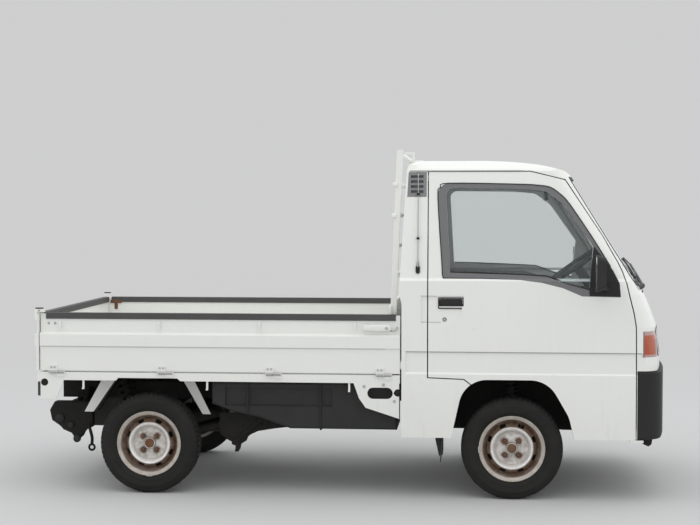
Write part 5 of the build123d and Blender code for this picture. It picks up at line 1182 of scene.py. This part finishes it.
CUSHION = [(-0.475, 0.722), (0.118, 0.722), (0.138, 0.790), (0.108, 0.808), (-0.340, 0.786), (-0.475, 0.784)]
BACKREST = [(-0.486, 0.842), (-0.386, 0.842), (-0.432, 1.336), (-0.450, 1.360), (-0.468, 1.356),
            (-0.486, 1.010)]
SEAT_LOW, SEAT_HIGH = 0.098, 0.597
PAD_RIM = 0.022
PADS = (
    # name, outline, lowest and highest point, rearmost and foremost point, then the start of the two seams
    # in its middle, the way they run and their count of points
    ("cushion", CUSHION, 0.7005, 0.838, -0.508, 0.165, (-0.32, 0.90), (SEAM_GAP, 0.0), 36),
    ("backrest", BACKREST, 0.812, 1.388, -0.508, -0.360, (-0.32, 0.87), (0.0, SEAM_GAP), 39),
)
for pad, outline, low_z, high_z, rear_x, front_x, (seam_x, seam_z), (run_x, run_z), count in PADS:
    right_mesh = plump("seat_" + pad, outline, -SEAT_HIGH + 0.024, -SEAT_LOW - 0.024, PAD_RIM)
    kept_within(right_mesh, (ahead(rear_x), -SEAT_HIGH, low_z), (ahead(front_x), -SEAT_LOW, high_z))
    ring = dense([(ahead(x), -SEAT_HIGH + 0.010, z) for x, z in outline])
    piping = [seam_line(right_mesh, ring, -0.0008),
              seam_line(right_mesh, [(x, -SEAT_LOW - 0.010, z) for x, y, z in ring], -0.0008)]
    seams = []
    for y in (-0.455, -0.240):
        run = fore(1, *[(seam_x + run_x * step, y, seam_z + run_z * step) for step in range(count)])
        seams.append(seam_line(right_mesh, run, -0.0012))
    for side, seat in ((1, "driver_seat"), (-1, "passenger_seat")):
        mesh = right_mesh.copy()
        if side < 0:
            mesh.transform(Matrix.Scale(-1, 4, (0, 1, 0)))
            mesh.flip_normals()
        pad_piece = shown(seat + "_" + pad, mesh, "truck", MATERIALS["seat_cloth"], 60.0)
        if pad == "cushion":
            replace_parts(pad_piece, seat)
        lines = [[Vector((x, side * y, z)) for x, y, z in line] for line in piping + seams]
        made(seat + "_" + pad + "_piping", "truck", RUBBER,
             *[(tube, line + line[:1], 0.0030, 6) for line in lines[:2]],
             *[(tube, line, 0.0016, 6) for line in lines[2:]], angle=60.0)
    bpy.data.meshes.remove(right_mesh)
# runners and side plates of the seats
SIDE_PLATE = [(-0.478, 0.770), (-0.400, 0.770), (-0.412, 0.900), (-0.450, 0.960), (-0.478, 0.940)]
made("seat_runners", "truck", CHASSIS,
     *[(brick, (ahead(-0.44), y - 0.010, 0.7003), (ahead(0.08), y + 0.010, 0.7090), 0.002)
       for y in (-0.160, -0.535, 0.160, 0.535)],
     *[(plate, FRONT_AXLE, SIDE_PLATE, y - 0.004, 0.008, 0.002) for y in (-0.110, -0.575, 0.110, 0.575)])

# Floor, which fades into the backdrop, then sky, light and camera
FLOOR_HALF = 30.0
BACKDROP = colour(0.62, 0.62, 0.625)
floor_mesh = bpy.data.meshes.new("floor")
floor_mesh.from_pydata([(FLOOR_HALF * x, FLOOR_HALF * y, 0) for x, y in ((-1, -1), (1, -1), (1, 1), (-1, 1))],
                       [], [(0, 1, 2, 3)])
floor = placed("floor", floor_mesh)
pale = Finish("pale_floor", Roughness=0.9, Base_Color=colour(0.60, 0.60, 0.595))
floor_x, floor_y = pale.place()[:2]
away = (floor_x * floor_x + floor_y * floor_y) ** 0.5
rays = pale.tree.nodes.new("ShaderNodeLightPath").outputs
seen = Wire(pale.tree, rays["Is Camera Ray"]).highest(Wire(pale.tree, rays["Is Glossy Ray"]))
seen = seen.highest(Wire(pale.tree, rays["Is Transmission Ray"]))
backdrop = pale.node("Emission", inputs={"Color": BACKDROP, "Strength": 1.0})
blend_shaders(pale.tree, (pale.step(away, 2.6, 8.5) * seen).socket, pale.shader.outputs[0], backdrop.socket,
              "Material Output")
floor.data.materials.append(pale.material)

world = bpy.data.worlds.new("soft_sky")
bpy.context.scene.world = world
world.use_nodes = True
tree = world.node_tree
sky, view = tree.nodes["Background"], tree.nodes.new("ShaderNodeBackground")
sky.inputs["Color"].default_value = colour(0.95, 0.96, 0.975)
sky.inputs["Strength"].default_value = 1.01
view.inputs["Color"].default_value = BACKDROP
rays = tree.nodes.new("ShaderNodeLightPath").outputs
seen = Wire(tree, rays["Is Camera Ray"]).highest(Wire(tree, rays["Is Transmission Ray"]))
blend_shaders(tree, seen.socket, sky.outputs[0], view.outputs[0], "World Output")

# overhead softbox
SOFTBOX_SPOT = Vector((0.3, -1.5, 6.0))
light = bpy.data.lights.new("overhead", "AREA")
light.shape = "RECTANGLE"
light.size, light.size_y = 8.0, 5.0
light.energy = 75.0
lamp = placed("overhead", light)
lamp.location = SOFTBOX_SPOT
lamp.rotation_euler = (Vector((0.0, 0.0, 0.6)) - SOFTBOX_SPOT).to_track_quat("-Z", "Y").to_euler()

CAMERA_SPOT = (0.6458, -7.8457, 1.4829)
CAMERA_YAW = -0.08891
CAMERA_PITCH = -0.03781
CAMERA_LENS_MM = 72.33
lens = bpy.data.cameras.new("camera")
lens.lens = CAMERA_LENS_MM
lens.sensor_width = 36.0
camera = placed("camera", lens)
camera.location = CAMERA_SPOT
looking = Vector((math.sin(CAMERA_YAW) * math.cos(CAMERA_PITCH), math.cos(CAMERA_YAW) * math.cos(CAMERA_PITCH),
                  math.sin(CAMERA_PITCH)))
camera.rotation_euler = looking.to_track_quat("-Z", "Y").to_euler()
bpy.context.scene.camera = camera
bpy.context.scene.view_settings.view_transform = "Standard"
